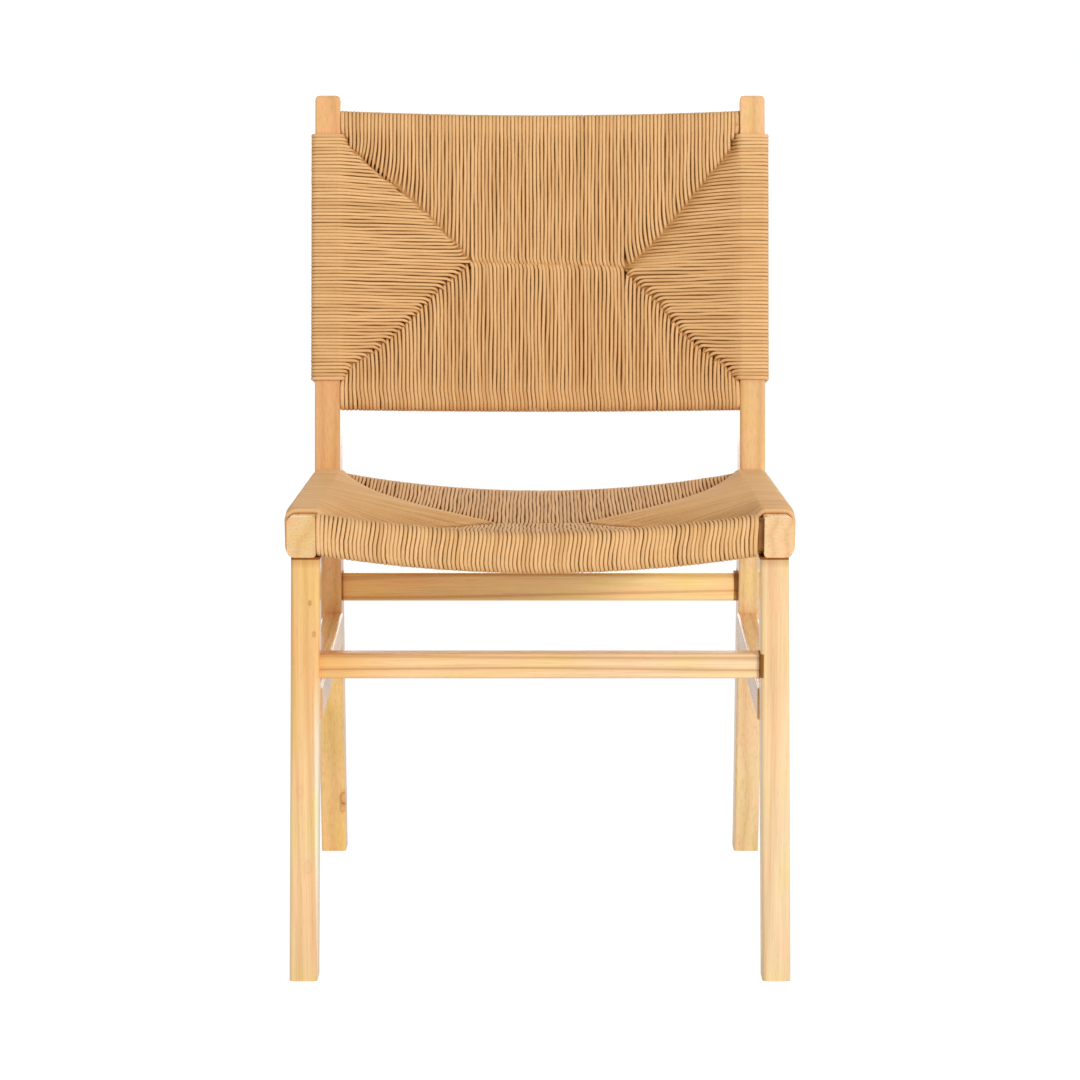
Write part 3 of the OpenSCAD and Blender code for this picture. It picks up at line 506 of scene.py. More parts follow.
# Noise makes the painted groove shade uneven.
wear_and_shade = maths(tree, "MULTIPLY_ADD", noise(tree, place, 700.0, 2.0), 0.3, -0.15)
base = ramp(tree, maths(tree, "ADD", crown, wear_and_shade), CORD_COLOURS)
mixed = maths(tree, "ADD", tone, noise(tree, place, 30.0, 3.0))
tint = ramp(tree, maths(tree, "MULTIPLY", mixed, 0.5), CORD_TINTS)
twist = node(tree, "ShaderNodeTexWave", {
    "Vector": stretched(tree, round_and_along, (1.0, 90.0, 1.0)), "Scale": 0.65, "Distortion": 0.6,
    "Detail": 1.0,
}, wave_type="BANDS", bands_direction="DIAGONAL")
bump = node(tree, "ShaderNodeBump", {
    "Height": twist.outputs["Fac"], "Strength": 0.3, "Distance": 0.0003,
})
feed(tree, shader, {
    "Base Color": mix_colour(tree, "MULTIPLY", 1.0, base, tint), "Roughness": 0.6,
    "Specular IOR Level": 0.08, "Normal": bump.outputs[0],
})
print("cord material ready")

# %% [markdown]
# ## Laying the strands
# Each strand leaves a mitre line, crosses its panel to the rail, goes round the rail and comes back
# underneath. Seen from its side that is one outline, which depends only on the rail and on how far
# and how high the mitre is there. Below, a is measured across the rail from its outer edge and h
# towards the side that shows, both in millimetres.

# %% Sizes of the frame, in millimetres
CORD = 3.9  # thickness of the cord
GAP = 0.25  # between cord and wood
FAN_GAP = 0.3  # between one fan and the next
OUT = CORD + GAP
TOP = cad_box[1][2] * 1000
FRONT_Y = cad_box[0][1] * 1000
SEAT_EDGE, SEAT_DEPTH = 451.0, 388.5  # height of the side rails at the front; front to seat joint
JOINT_Y = FRONT_Y + SEAT_DEPTH
RAIL_OUT, RAIL_IN, POST_OUT, POST_IN = 237.0, 210.0, 240.0, 213.0
SIDE_RAIL_H, SIDE_FALL = 38.8, math.radians(2.07)
SLOPE = math.tan(SIDE_FALL)
LEAN = math.radians(10.57)  # of the back, from the seat joint up
LEAN_Z = SEAT_EDGE - SEAT_DEPTH * SLOPE + OUT


def rail_top(y):
    return SEAT_EDGE - (y - FRONT_Y) * SLOPE


def rail_bottom(y):
    return rail_top(y) - SIDE_RAIL_H / math.cos(SIDE_FALL)


def arc(x, half, rise, grow):
    """Height of an arc above its lowest point, at x; grow makes the arc's radius larger."""
    radius = (half * half + rise * rise) / (2 * rise)
    return radius - math.sqrt((radius + grow) ** 2 - x * x)


def mix(a, b, share):
    return a + (b - a) * share


def ease(t):
    t = np.clip(t, 0.0, 1.0)
    return t * t * (3 - 2 * t)


print("seat joint at y", round(JOINT_Y, 2), "posts lean from z", round(LEAN_Z, 2))

# %% [markdown]
# At its mitre a strand doesn't just stop. It bends aside, towards the next turn of the winding, and
# dives between the layers, where it runs on for a little out of sight. So each strand carries four
# values for its ends: how far it reaches over the mitre, how much it lifts there, and by how many
# degrees and over what length it bends aside.

# %% Outline of one strand round its rail
STEEPEST = 60.0  # degrees; beyond this a strand's end is no longer moved for its slope
SHOWN_STEP, HIDDEN_STEP = 9.0, 13.0  # longest piece of a straight run
BEND_STEPS = 6
TAIL = np.array([1.6, 3.4, 6.5])  # the last places on a strand, out of sight past its bend
LIFT_FROM, LIFT_RUN = 16.0, 13.0  # how far before its end a strand lifts, and over what length
DIVE_FROM, DIVE_RUN, DIVE_DEPTH = 2.6, 6.4, 5.2  # the same for its dive, and how deep that goes
REACH = 4  # where a spec keeps its mitre's distance


def leave(centre, point, radius, side, most=87.0):
    """Angle at which a straight run to a point leaves a rail's rounding, on its tangent."""
    dx, dy = point[0] - centre[0], point[1] - centre[1]
    turn = side * math.degrees(math.acos(min(1.0, radius / math.hypot(dx, dy))))
    return side * min(most, side * (math.degrees(math.atan2(dy, dx)) + turn))


def on_circle(centre, radius, degrees):
    turn = math.radians(degrees)
    return (centre[0] + radius * math.cos(turn), centre[1] + radius * math.sin(turn))


def strand_end(point, angle, side):
    """Where the middle of a strand ends, so that its skin ends at the point on the mitre."""
    fall = math.radians(min(STEEPEST, side * (side * 90 - angle)))
    return (point[0] - CORD / 2, point[1] + side * CORD / 2 * (math.tan(fall) - 1 / math.cos(fall)))


def half_way(start, stop, side, end, step):
    """From the rail's rounding to past the mitre: rows of a, h, run along, aside and dive."""
    over, lift, bend, bend_run = end
    length = math.hypot(stop[0] - start[0], stop[1] - start[1])
    bend_run = min(bend_run, 0.8 * length)
    straight = np.linspace(0.0, 1.0, max(3, int(math.ceil((length - bend_run) / step)) + 1))
    turn = math.radians(abs(bend)) * np.linspace(0.0, 1.0, BEND_STEPS + 1)[1:] ** 1.5
    piece = bend_run / BEND_STEPS
    forward = np.concatenate([[0.0], np.cumsum(np.cos(turn) * piece)])
    sideways = np.concatenate([[0.0], np.cumsum(np.sin(turn) * piece)])
    forward = np.concatenate([forward, forward[-1] + TAIL * math.cos(turn[-1])])
    sideways = np.concatenate([sideways, sideways[-1] + TAIL * math.sin(turn[-1])])
    line = (length + over - forward[BEND_STEPS]) * straight
    run = np.concatenate([line[:-1], line[-1] + forward])
    aside = np.concatenate([np.zeros(len(line) - 1), sideways]) * math.copysign(1.0, bend)
    a = start[0] + (stop[0] - start[0]) * run / length
    h = start[1] + (stop[1] - start[1]) * run / length
    deep = run - (length + over)
    dive = ease((deep + DIVE_FROM) / DIVE_RUN)
    h = h + side * (lift * ease((deep + LIFT_FROM) / LIFT_RUN) - DIVE_DEPTH * dive)
    return a, h, run, aside, dive


def outline(spec, end, end_low):
    """Centre line of a strand from one mitre to the other: a, h, run (0 at the rail), aside, dive.

    spec holds the rail's thickness, the radius of its outer edges, the heights of its two faces,
    how far the mitre is, the mitre's height on the shown and on the hidden side, and the radius of
    the rail's inner edges.
    """
    t, r, high, low, reach, top_end, low_end, q = spec
    top_c, low_c = (t - q, high - q), (t - q, low + q)
    top_a = leave(top_c, (reach, top_end), q + OUT, 1)
    low_a = leave(low_c, (reach, low_end), q + OUT, -1, 180.0)
    g, k = r + GAP + CORD / 2, q + GAP + CORD / 2
    last = k
    skips = low_a < -90
    if skips:  # this strand never touches the rail's inner lower edge
        low_c, last = (r, low + r), g
        low_a = leave(low_c, (reach, low_end), r + OUT, -1, 180.0)
    tops = half_way(on_circle(top_c, k, top_a), strand_end((reach, top_end), top_a, 1), 1, end,
                    SHOWN_STEP)
    lows = half_way(on_circle(low_c, last, low_a), strand_end((reach, low_end), low_a, -1), -1,
                    end_low, HIDDEN_STEP)
    bends = [on_circle(top_c, k, mix(top_a, 90, i / 2)) for i in (1, 2)]
    bends += [on_circle((r, high - r), g, 90 + 22.5 * i) for i in range(5)]
    bends += [on_circle((r, mix(high - r, low + r, 0.5)), g, 180)]
    if skips:
        bends += [on_circle(low_c, g, mix(180, 360 + low_a, i / 4)) for i in range(4)]
    else:
        bends += [on_circle((r, low + r), g, 180 + 22.5 * i) for i in range(5)]
        bends += [on_circle(low_c, k, mix(-90, low_a, i / 2)) for i in (0, 1)]
    bends = np.array(bends)
    wrap = np.concatenate([[tops[0][0] - bends[0][0]], np.diff(bends[:, 0])])
    wrap_h = np.concatenate([[tops[1][0] - bends[0][1]], np.diff(bends[:, 1])])
    round_run = np.cumsum(np.hypot(wrap, wrap_h))
    past = round_run[-1] + math.hypot(lows[0][0] - bends[-1][0], lows[1][0] - bends[-1][1])
    zero = np.zeros(len(bends))
    return (
        np.concatenate([tops[0][::-1], bends[:, 0], lows[0]]),
        np.concatenate([tops[1][::-1], bends[:, 1], lows[1]]),
        np.concatenate([tops[2][::-1], -round_run, -past - lows[2]]),
        np.concatenate([tops[3][::-1], zero, lows[3]]),
        np.concatenate([tops[4][::-1], zero, lows[4]]),
    )


# %% [markdown]
# The cord is wound by hand, so no strand is quite straight. Neighbours wander together, each strand
# adds a little of its own, and here and there the winding opens and shows a dark gap. A strand is a
# tube with ten sides, finer on the side that shows. Its section is a little square, because every
# strand is pressed between its neighbours.

# %% How the winding wanders
PROFILE = np.array([
    (1.0, 0.0), (0.99, 0.6), (0.76, 0.88), (0.3, 1.0), (-0.3, 1.0), (-0.76, 0.88), (-0.99, 0.6),
    (-1.0, 0.0), (-0.9, -0.92), (0.9, -0.92),
])
CROWNS = np.array([0.0, 0.25, 0.75, 1.0, 1.0, 0.75, 0.25, 0.0, 0.0, 0.0])
SIDES = len(PROFILE)
SWAY = 0.13  # how far the neighbours wander together, in each of five waves
OPEN_REACH, OPEN_FADE = 45, 11  # how far from an opening the strands still give way
SIDE_WAVES = ((0.13, 6.5), (0.17, 15))  # a strand's own waves: height and length
HIGH_WAVES = ((0.1, 9), (0.1, 22))


def winding(rng, low, high, longest, openings):
    """Draws the common drift of a fan's strands and the places where the winding opens."""
    waves = [
        (rng.uniform(0.05, 0.22), rng.uniform(0.02, 0.07), rng.uniform(0, 2 * math.pi))
        for _ in range(5)
    ]
    gaps = [
        (rng.uniform(low, high), rng.uniform(-20, longest), rng.uniform(15, 45),
         rng.uniform(0.15, 0.6))
        for _ in range(openings)
    ]

    def drift(pos, run):
        total = np.zeros(len(run))
        for across, along, phase in waves:
            total += SWAY * np.sin(across * pos + along * run + phase)
        for centre, middle, half, width in gaps:
            away = pos - centre
            if abs(away) < OPEN_REACH:
                push = 0.5 * width * math.copysign(math.exp(-abs(away) / OPEN_FADE), away)
                total += push * ease(1.6 - np.abs(run - middle) / half) * ease(np.abs(run) / 14)
        return total
    return drift


def own_way(rng, run, rough):
    """How far one strand strays to the side and outwards by itself."""
    phase = rng.uniform(0, 2 * math.pi, 4)
    free = rough * (0.4 + 0.6 * ease(run / 20))

    def stray(waves, phases, low, high):
        total = sum(height * np.sin(run / long + start)
                    for (height, long), start in zip(waves, phases))
        return free * (total + rng.uniform(low, high))
    return stray(SIDE_WAVES, phase[:2], -0.1, 0.1), stray(HIGH_WAVES, phase[2:], -0.12, 0.06)


def unit(rows):
    return rows / np.linalg.norm(rows, axis=1)[:, None]


# %% [markdown]
# A fan is a list of strands, from one end of its rail to the other. Each says where it is on the
# rail (pos), its share of the rail (pitch), its outline (spec, end, end_low), how the outline turns
# into places on the chair (place) and, if it strays from its place, by how much (drift).

# %% One fan of strands as a mesh
# What a strand has unless its fan says otherwise. slim: how much it narrows at its mitre, and over
# what length. snug: its width on the rail, as a share of its pitch. loose: how much narrower it is
# across the panel. dusk: how much painted shade darkens its crown near its mitre. dim: the same
# painted shade where it dives.
USUAL = {"slim": (0.06, 22.0), "snug": 1.05, "loose": 0.08, "dusk": 0.0, "dim": 0.75}
SLIM_FROM, DUSK_FROM, DUSK_RUN = 6, 10, 16


def spine(strand, common, rng, rough):
    """Middle line of a strand, its directions sideways and outwards, and its run and dive."""
    a, h, run, aside, dive = outline(strand["spec"], strand["end"], strand["end_low"])
    own_side, own_high = own_way(rng, run, rough)
    calm = 1 - 0.6 * dive
    aside = aside + (common(strand["pos"], run) + own_side) * calm
    if "drift" in strand:
        aside = aside + strand["drift"](a, h, run)
    pts, across = strand["place"](a, h, strand["pos"] + aside)
    ahead = unit(np.gradient(pts, axis=0))
    outwards = unit(np.cross(ahead, across))
    sideways = np.cross(outwards, ahead)
    return pts + outwards * (own_high * calm)[:, None], sideways, outwards, run, dive


def tube_faces(first, rows):
    """Quads between the rings of a strand, then its two caps; first is its first vertex."""
    rim = np.arange(SIDES)
    here = first + (np.arange(rows - 1)[:, None] * SIDES + rim[None, :])
    beside = first + (np.arange(rows - 1)[:, None] * SIDES + (rim[None, :] + 1) % SIDES)
    quads = np.stack([here, beside, beside + SIDES, here + SIDES], axis=2).reshape(-1, 4)
    start_cap = [first + k for k in range(SIDES - 1, -1, -1)]
    end_cap = [first + (rows - 1) * SIDES + k for k in range(SIDES)]
    return quads.tolist() + [start_cap, end_cap]


def tube_uvs(length):
    """UV of the same faces' corners: once round the strand, and metres along it."""
    u = np.tile(np.arange(SIDES) / SIDES, len(length) - 1)
    beside = u + 1 / SIDES
    v, ahead = np.repeat(length[:-1], SIDES), np.repeat(length[1:], SIDES)
    quads = np.stack([u, v, beside, v, beside, ahead, u, ahead], axis=1).reshape(-1, 2)
    return [quads, np.tile((0.5, length[0]), (2 * SIDES, 1))]


def fan(name, strands, seed, openings, rough=1.0):
    rng = np.random.RandomState(seed)
    longest = max(strand["spec"][REACH] for strand in strands)
    common = winding(rng, strands[0]["pos"], strands[-1]["pos"], longest, openings)
    verts, faces, uvs, tones, crowns = [], [], [], [], []
    first = 0
    for number, strand in enumerate(strands):
        strand = {**USUAL, **strand}
        pts, sideways, outwards, run, dive = spine(strand, common, rng, rough)
        steps = np.linalg.norm(np.diff(pts, axis=0), axis=1)
        length = np.concatenate([[0.0], np.cumsum(steps)]) / 1000 + rng.uniform(0, 1)
        near = np.minimum(length - length[0], length[-1] - length) * 1000
        thin, thin_run = strand["slim"]
        slim = 1 - thin * np.exp(-np.maximum(near - SLIM_FROM, 0) / thin_run) * (run > 0)
        tight = strand["snug"] - strand["loose"] * ease(run / 14)
        half_w = strand["pitch"] * 0.5 * rng.uniform(0.97, 1.01) * slim * tight
        half_h = CORD / 2 * rng.uniform(0.97, 1.0)
        wide = half_w[:, None] * PROFILE[:, 0]
        high = half_h * PROFILE[:, 1]
        rings = (pts[:, None, :] + sideways[:, None, :] * wide[:, :, None]
                 + outwards[:, None, :] * high[None, :, None])
        verts.append(rings.reshape(-1, 3))
        faces += tube_faces(first, len(pts))
        uvs += tube_uvs(length)
        shade = rng.uniform(0, 1) + 0.12 * np.sin(run / 17 + rng.uniform(0, 6))
        tones.append(np.repeat(np.clip(shade, 0, 1), SIDES))
        outermost = number in (0, len(strands) - 1)  # its side shows, and is no groove
        shown = np.ones(SIDES) if outermost else CROWNS
        # dusk and dim: painted shade on the crown near the mitre and where the strand dives.
        dusk = 1 - strand["dusk"] * np.exp(-np.maximum(near - DUSK_FROM, 0) / DUSK_RUN) * (run > 0)
        crown = shown[None, :] * ((1 - strand["dim"] * dive) * dusk)[:, None]
        crowns.append(crown.reshape(-1))
        first += len(pts) * SIDES
    mesh = bpy.data.meshes.new(name)
    mesh.from_pydata((np.concatenate(verts) / 1000).tolist(), [], faces)
    layer = mesh.uv_layers.new(name="cord")
    layer.data.foreach_set("uv", np.concatenate(uvs).astype(np.float32).ravel())
    for label, values in (("tone", tones), ("crown", crowns)):
        store = mesh.attributes.new(label, "FLOAT", "POINT")
        store.data.foreach_set("value", np.concatenate(values).astype(np.float32))
    mesh.polygons.foreach_set("use_smooth", [True] * len(mesh.polygons))
    mesh.validate()
    piece = bpy.data.objects.new(name, mesh)
    scene.collection.objects.link(piece)
    mesh.materials.append(cord_finish)
    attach(piece, "root")
    print(name, "strands:", len(strands), "faces:", len(faces))
    return piece


def spread(low, high, count):
    pitch = (high - low) / count
    return [low + pitch * (i + 0.5) for i in range(count)], pitch


# %% [markdown]
# ### The seat
# The front fan is wound round the front rail and the rear fan round the rear rail; both rails dip
# in the middle. The two side fans go round the straight side rails and lie over the others. Their
# mitres run from the corners down to a short ridge in the middle of the seat.

# %% Seat: places and heights of the mitres
RAIL_T, RAIL_H, RAIL_R = 18.0, 31.0, 6.0
SIDE_T, SIDE_R, SIDE_IN_R = 27.0, 6.5, 3.0
FRONT_SCOOP, REAR_SCOOP = 17.5, 19.5
FRONT_RAIL_Y, FRONT_RAIL_Z = FRONT_Y + OUT, 448.0
REAR_RAIL_Y, REAR_RAIL_Z = JOINT_Y + OUT + FAN_GAP, rail_top(JOINT_Y) - 5.5
SEAT_X, SEAT_RIDGE = RAIL_IN - OUT - FAN_GAP, 44.0
SEAT_FRONT = FRONT_RAIL_Y + RAIL_T + OUT + FAN_GAP
SEAT_MID = (SEAT_FRONT + JOINT_Y) / 2
SEAT_Z, SEAT_LOW = 412.0, 396.0  # the ridge, on top of the seat and below it
FRONT_CORNER, REAR_CORNER = rail_top(SEAT_FRONT) - 1, rail_top(JOINT_Y) - 1.5
BARE_STRIP = 6.0  # of the front rail, beside the right block
LOW_OVER = (2.4, 0.4, -4.0, 8.0)  # ends on the hidden side, over another fan or under it
LOW_UNDER = (-0.4, 0.0, 4.0, 8.0)


def dish(s, corner_z):
    """Height of a mitre: it drops fast at its corner, s = 0, and slowly to the ridge, s = 1."""
    return SEAT_Z + (corner_z - SEAT_Z) * (0.35 * (1 - s) + 0.65 * (1 - s) ** 6)


def belly(s, rail_z):
    """Height of the mitre below it."""
    return mix(rail_z - RAIL_H - OUT + 2, SEAT_LOW, s)


def share_x(x, corner, ridge):
    return min(1.0, max(0.0, (corner - abs(x)) / (corner - ridge)))


def cross_rail(x, half, scoop, rail_z, s, reach, corner_z):
    """Spec of a strand on the front or the rear rail, which dips by its scoop."""
    base = rail_z - scoop
    top, bottom = base + arc(x, half, scoop, 0), base + arc(x, half, scoop, RAIL_H)
    return (RAIL_T, RAIL_R, top, bottom, reach, dish(s, corner_z), belly(s, rail_z), RAIL_R)


print("seat ridge at y", round(SEAT_MID, 1), "from x", -SEAT_RIDGE, "to", SEAT_RIDGE)


# %% Seat: front and rear fans
def place_front(a, h, x):
    return np.stack([x, FRONT_RAIL_Y + a, h], axis=1), np.tile((1.0, 0.0, 0.0), (len(a), 1))


def place_rear(a, h, x):
    y = REAR_RAIL_Y + RAIL_T - a
    return np.stack([x, y, h], axis=1), np.tile((-1.0, 0.0, 0.0), (len(a), 1))


def under_end(rng, x, s):
    """End of a strand that dives below another fan, or of one that meets its twin on the ridge."""
    if s >= 1:
        return (1.5, 0.3, 28.0, 6.0)
    return (rng.uniform(0.8, 1.8), -1.8, math.copysign(rng.uniform(8, 20), x), rng.uniform(16, 28))


def front_lean(x):
    """On the front of the rail the strands lean a little to the left, and back again below."""
    share = min(1.0, (RAIL_IN - abs(x)) / 25)

    def drift(a, h, run):
        top, face, below = ease(-run / 14), ease((-run - 13) / 25), ease((-run - 36) / 16)
        return share * (1.4 * top - 3.2 * face + 2.2 * below)
    return drift


rng = np.random.RandomState(5)
xs, pitch = spread(-(RAIL_IN - FAN_GAP), RAIL_IN - BARE_STRIP, 107)
front_strands = []
for x in xs:
    s = share_x(x, SEAT_X, SEAT_RIDGE)
    reach = mix(SEAT_FRONT, SEAT_MID, s) - FAN_GAP - FRONT_RAIL_Y
    spec = cross_rail(x, RAIL_IN, FRONT_SCOOP, FRONT_RAIL_Z, s, reach, FRONT_CORNER)
    front_strands.append({
        "pos": x, "pitch": pitch, "spec": spec, "place": place_front, "end": under_end(rng, x, s),
        "end_low": LOW_UNDER, "slim": (0.12, 22.0), "snug": 0.98, "loose": 0.04,
        "drift": front_lean(x),
    })
seat_front = fan("seat_cord_front", front_strands, 11, 26, 1.5)

xs, pitch = spread(-(POST_IN - FAN_GAP), POST_IN - FAN_GAP, 108)
rear_strands = []
for x in xs:
    s = share_x(x, SEAT_X, SEAT_RIDGE)
    reach = REAR_RAIL_Y + RAIL_T - mix(JOINT_Y, SEAT_MID, s) - FAN_GAP
    spec = cross_rail(x, POST_IN, REAR_SCOOP, REAR_RAIL_Z, s, reach, REAR_CORNER)
    rear_strands.append({
        "pos": x, "pitch": pitch, "spec": spec, "place": place_rear, "end": under_end(rng, x, s),
        "end_low": LOW_UNDER, "slim": (0.14, 22.0), "snug": 1.0,
    })
seat_rear = fan("seat_cord_rear", rear_strands, 12, 40)

# %% Seat: side fans
LEG_DEPTH = 30
BEHIND_LEG = FRONT_Y + LEG_DEPTH + FAN_GAP - SEAT_FRONT
SIDE_SWELL = 2.4  # how far the side fans bulge past their rails


def side_place(sign, s):
    def place(a, h, y):
        swell = SIDE_SWELL * min(1.0, 4 * s) * np.clip(1 - a / SIDE_T, 0, 1)
        across = np.tile((0.0, float(sign), 0.0), (len(a), 1))
        return np.stack([sign * (RAIL_OUT - a + swell), y, h], axis=1), across
    return place


def side_drift(s, front):
    """Below the rail the first strands give way to the front leg."""
    def drift(a, h, run):
        under = np.clip((rail_top(SEAT_FRONT) - 8 - h) / 25.0, 0, 1) * (a < 30)
        return (BEHIND_LEG * (1 - s) ** 8 if front else 0.0) * under
    return drift


ys, pitch = spread(SEAT_FRONT, JOINT_Y - FAN_GAP, 92)
for side, sign in (("left", -1), ("right", 1)):
    strands = []
    for y in ys:
        front = y < SEAT_MID
        corner_y = SEAT_FRONT if front else JOINT_Y
        s = (y - corner_y) / (SEAT_MID - corner_y)
        top = dish(s, FRONT_CORNER if front else REAR_CORNER)
        low = belly(s, FRONT_RAIL_Z if front else REAR_RAIL_Z)
        reach = RAIL_OUT - mix(SEAT_X, SEAT_RIDGE, s) - FAN_GAP
        strands.append({
            "pos": y, "pitch": pitch,
            "spec": (SIDE_T, SIDE_R, rail_top(y), rail_bottom(y), reach, top, low, SIDE_IN_R),
            "place": side_place(sign, s if front else 1), "drift": side_drift(s, front),
            "end": (rng.uniform(0.6, 1.8), 0.5, rng.uniform(-45, -28), 8.0), "end_low": LOW_OVER,
        })
    piece = fan("seat_cord_" + side, strands, 13 if sign < 0 else 14, 6, 0.4)
    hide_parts("seat_cord")
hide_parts("seat_cord")
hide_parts("seat_cord")

# %% [markdown]
# ### The back
# The back panel is wound round the two bowed rails and round the posts. It is laid out in the
# leaning frame of the posts: n runs backwards from the posts' front face and u up along them. On
# three of its mitres the level strands lie over the upright ones and hook round them. On the upper
# right one the upright strands lie on top.

# %% Back: places and depths of the mitres
BACK_T, TOP_H, BOTTOM_H, BACK_R = 18.0, 18.0, 23.0, 5.0
POST_T, POST_R = 27.0, 3.0
BOW, BOW_FRONT = 28.0, 32.0  # how far the rails bow backwards, and n of their fronts in the middle
TOP_U, BOTTOM_U = (TOP - LEAN_Z) / math.cos(LEAN) - 19.0, 68.0
BACK_X = POST_IN - OUT - FAN_GAP
CORNER_TOP = TOP_U - TOP_H - OUT - FAN_GAP
CORNER_BOTTOM = BOTTOM_U + BOTTOM_H + OUT + FAN_GAP
# Each mitre as points of distance from the middle and height u, from its corner to the ridge's end.
MITRES = {
    ("top", -1): [(BACK_X, CORNER_TOP), (204.5, 345.5), (196.9, 336.3), (180.0, 320.8),
                  (171.6, 314.1), (154.6, 302.0), (137.6, 288.5), (120.5, 273.6), (86.3, 238.0),
                  (76.0, 223.8)],
    ("bottom", -1): [(BACK_X, CORNER_BOTTOM), (205.0, 108.0), (196.6, 116.9), (179.8, 129.0),
                     (171.4, 134.9), (146.0, 156.7), (129.0, 174.2), (103.4, 201.0), (76.0, 223.8)],
    ("top", 1): [(BACK_X, CORNER_TOP), (202.8, 340.8), (194.4, 329.9), (177.5, 312.2),
                 (152.0, 281.0), (117.9, 242.2), (90.0, 218.2)],
    ("bottom", 1): [(BACK_X, CORNER_BOTTOM), (202.5, 106.4), (194.1, 116.8), (177.3, 129.9),
                    (168.8, 135.6), (151.9, 152.2), (126.4, 183.1), (109.4, 199.1), (90.0, 218.2)],
}


def bow(x, grow):
    return BOW_FRONT - arc(x, POST_IN, BOW, grow)


def faces_at(x, s):
    """Heights of a mitre on the shown and the hidden face; both sink in towards the ridge."""
    dive = 5.0 * mix(0.25, 1, s)
    return OUT - dive - bow(x, 0), dive - OUT - bow(x, BACK_T)


def ridge_end(sign):
    return MITRES["top", sign][-1]


def mitre_at(label, x):
    """Height u of a mitre or of the ridge at x, and how far along the mitre that is."""
    sign = -1 if x < 0 else 1
    tip, tip_u = ridge_end(sign)
    if abs(x) <= tip:
        (left, left_u), (right, right_u) = ridge_end(-1), ridge_end(1)
        return mix(left_u, right_u, (x + left) / (left + right)), 1.0
    far, high = zip(*MITRES[label, sign][::-1])
    return float(np.interp(abs(x), far, high)), max(0.0, (BACK_X - abs(x)) / (BACK_X - tip))


def mitre_across(sign, u):
    """Distance from the middle of the mitre that a level strand meets at height u."""
    label = "bottom" if u < ridge_end(sign)[1] else "top"
    far, high = zip(*sorted(MITRES[label, sign], key=lambda point: point[1]))
    return float(np.interp(u, high, far))


def leg_depth(z):
    """Depth of a rear leg: it swells at the seat joint and is slim at the top."""
    mid = (rail_top(JOINT_Y) + rail_bottom(JOINT_Y)) / 2
    share = (z - mid) / (TOP - mid)
    return mix(46.0, 24.5, (1 - math.cos(math.pi * share)) / 2)


def post_back(u):
    """How far behind its front face a post ends, at height u."""
    z = LEAN_Z + (u - leg_depth(LEAN_Z + u * math.cos(LEAN)) * math.sin(LEAN)) * math.cos(LEAN)
    return leg_depth(z) * math.cos(LEAN)


def lean(x, n, u):
    """Places on the chair from places in the leaning frame of the posts."""
    y = JOINT_Y + n * math.cos(LEAN) + u * math.sin(LEAN)
    z = LEAN_Z - n * math.sin(LEAN) + u * math.cos(LEAN)
    return np.stack([x, y, z], axis=1)


print("back panel from u", BOTTOM_U, "to", round(TOP_U, 1))

# %% Back: top and bottom fans
LEAN_OUT = 17.5  # how far from its mitre a strand starts to lean out to the post


def place_top(a, h, x):
    return lean(x, -h, TOP_U - a), np.tile((-1.0, 0.0, 0.0), (len(a), 1))


def place_bottom(a, h, x):
    return lean(x, -h, BOTTOM_U + a), np.tile((1.0, 0.0, 0.0), (len(a), 1))


def outward(x):
    """By how many degrees a strand of the upper left leans out to the post at its mitre."""
    return 3 + 12 * float(ease((205 + x) / 20) * ease((-x - 118) / 35))


def upright_end(rng, label, x, s):
    """End of an upright strand: on the ridge, on top at the upper right, or under the others."""
    if s >= 1:
        return (0.4, 0.2, 34.0, 8.0) if label == "top" else (3.0, 0.0, -34.0, 8.0)
    room = min(1.0, (POST_IN - abs(x)) / 30)
    if label == "top" and x > 0:
        return (room * rng.uniform(-0.8, 2.6), 0.5,
                room * (mix(2, 17, s) + rng.uniform(-0.8, 0.8)), rng.uniform(28, 32))
    if label == "top":
        early = 3.2 * (outward(x) - 3) / 12  # those that lean out most dive early and leave notches
        return (rng.uniform(0.8, 2.0) - rng.uniform(0, 1) * early, -1.9 * room,
                -outward(x) - rng.uniform(-2.5, 2.5), rng.uniform(33, 39))
    return (rng.uniform(0.8, 2.0), -1.9 * room, math.copysign(room * rng.uniform(6, 11), x),
            rng.uniform(24, 32))


def beside_post(label, x):
    """The last strands beside a post lean a little away from it."""
    def drift(a, h, run):
        near = math.exp(-(POST_IN - abs(x)) / 12)
        away = -1.4 * near * ease(run / 18) * math.copysign(1.0, x)
        slant = 0.0 if label == "top" else 1.8 * ease(-run / 10)
        return away + slant * min(1.0, (POST_IN - abs(x)) / 20)
    return drift


def upright_slim(label, x, s, leans):
    """How much an upright strand narrows at its mitre, and over what length; below 0 it widens."""
    if s >= 1:
        return (-0.2, 4.5)
    if leans:
        return (0.03 + 0.009 * outward(x), 24.0)
    return (-0.06 if label == "top" else 0.08, 22.0)


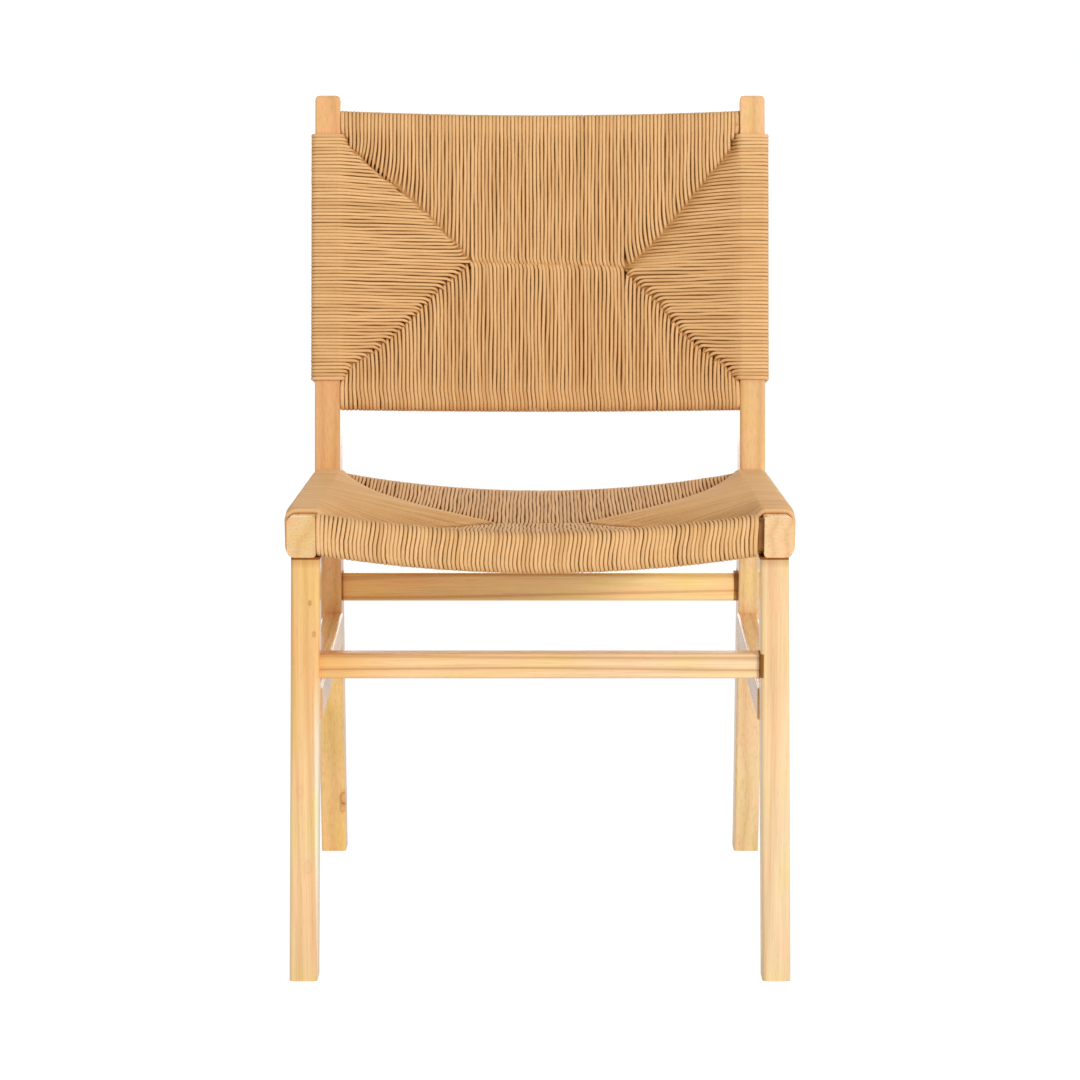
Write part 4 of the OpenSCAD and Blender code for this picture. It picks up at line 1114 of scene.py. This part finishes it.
for label, count, seed in (("top", 108, 21), ("bottom", 105, 22)):
    xs, pitch = spread(-(POST_IN - FAN_GAP), POST_IN - FAN_GAP, count)
    is_top = label == "top"
    strands = []
    for x in xs:
        u, s = mitre_at(label, x)
        leans = is_top and x < 0 and s < 1
        if leans:
            far_x = x - LEAN_OUT * math.sin(math.radians(outward(x)))
            u, s = mitre_at(label, max(-BACK_X, far_x))
        reach = (TOP_U - u if is_top else u - BOTTOM_U) - FAN_GAP
        shown, hidden = faces_at(x, s)
        strands.append({
            "pos": x, "pitch": pitch,
            "spec": (TOP_H if is_top else BOTTOM_H, BACK_R, -bow(x, 0), -bow(x, BACK_T), reach,
                     shown, hidden, BACK_R),
            "place": place_top if is_top else place_bottom, "drift": beside_post(label, x),
            "end": upright_end(rng, label, x, s), "end_low": LOW_UNDER,
            "dim": 0.25 if s >= 1 else 0.75, "slim": upright_slim(label, x, s, leans),
            "snug": 1.0, "loose": 0.09,
        })
    piece = fan("back_cord_" + label, strands, seed, 44)
    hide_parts("back_cord")


# %% Back: fans on the posts
def post_place(sign):
    def place(a, h, u):
        across = (0.0, sign * math.sin(LEAN), sign * math.cos(LEAN))
        return lean(sign * (POST_OUT - a), -h, u), np.tile(across, (len(a), 1))
    return place


def level_end(rng, sign, low, s):
    """On three mitres the level strands lie on top and hook round; on the upper right they dive."""
    if sign > 0 and not low:
        return (3.2, -2.4, rng.uniform(-8, 2), 20.0)
    if sign > 0:
        return (rng.uniform(-0.2, 2.6), 0.5, rng.uniform(-70, -45), rng.uniform(7, 12))
    if low:
        return (rng.uniform(-0.8, 2.8), 0.5, rng.uniform(-60, -25), rng.uniform(5, 10))
    return (rng.uniform(-1.8, 2.4), rng.uniform(0.1, 1.3),
            rng.uniform(25, 50) if s > 0.85 else rng.uniform(-35, 8), rng.uniform(3, 6))


def level_shift(sign, u, tip_u):
    """How far a level strand has risen or sunk where it meets its mitre; most in mid-fan."""
    low = u < tip_u
    corner = CORNER_BOTTOM if low else CORNER_TOP
    along = (u - corner) / (tip_u - corner)
    fan_out = (3.4 if low else 2.2) * math.sin(math.pi * min(1.0, along / 0.7))
    if low:
        return float(fan_out)
    if sign < 0:
        return float(-fan_out)
    return float(-3.0 * ease(along * 3) - 2.0 * along) * min(1.0, (u - tip_u) / 12)


def slope_to(shift, length):
    """The same along the strand, from the post to its mitre."""
    def drift(a, h, run):
        return shift * np.clip(run / length, 0, 1) ** 1.5
    return drift


for side, sign, count in (("left", -1, 72), ("right", 1, 69)):
    us, pitch = spread(CORNER_BOTTOM, CORNER_TOP, count)
    tip, tip_u = ridge_end(sign)
    strands = []
    for u in us:
        low = u < tip_u
        shift = level_shift(sign, u, tip_u)
        x = mitre_across(sign, u + shift)
        s = min(1.0, (BACK_X - x) / (BACK_X - tip))
        shown, hidden = faces_at(x, s)
        # dusk and dim set how much painted shade darkens the crowns near the mitre.
        strands.append({
            "pos": u, "pitch": pitch, "place": post_place(sign),
            "spec": (POST_T, POST_R, 0.0, -post_back(u), POST_OUT - x - FAN_GAP, shown, hidden,
                     POST_R),
            "end": level_end(rng, sign, low, s), "end_low": LOW_OVER,
            "drift": slope_to(shift, POST_OUT - x), "dusk": 0.5 if sign > 0 and not low else 0.0,
            "dim": 0.3 if sign < 0 and not low else 0.75,
        })
    piece = fan("back_cord_" + side, strands, 23 if sign < 0 else 24, 30)
    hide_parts("back_cord")
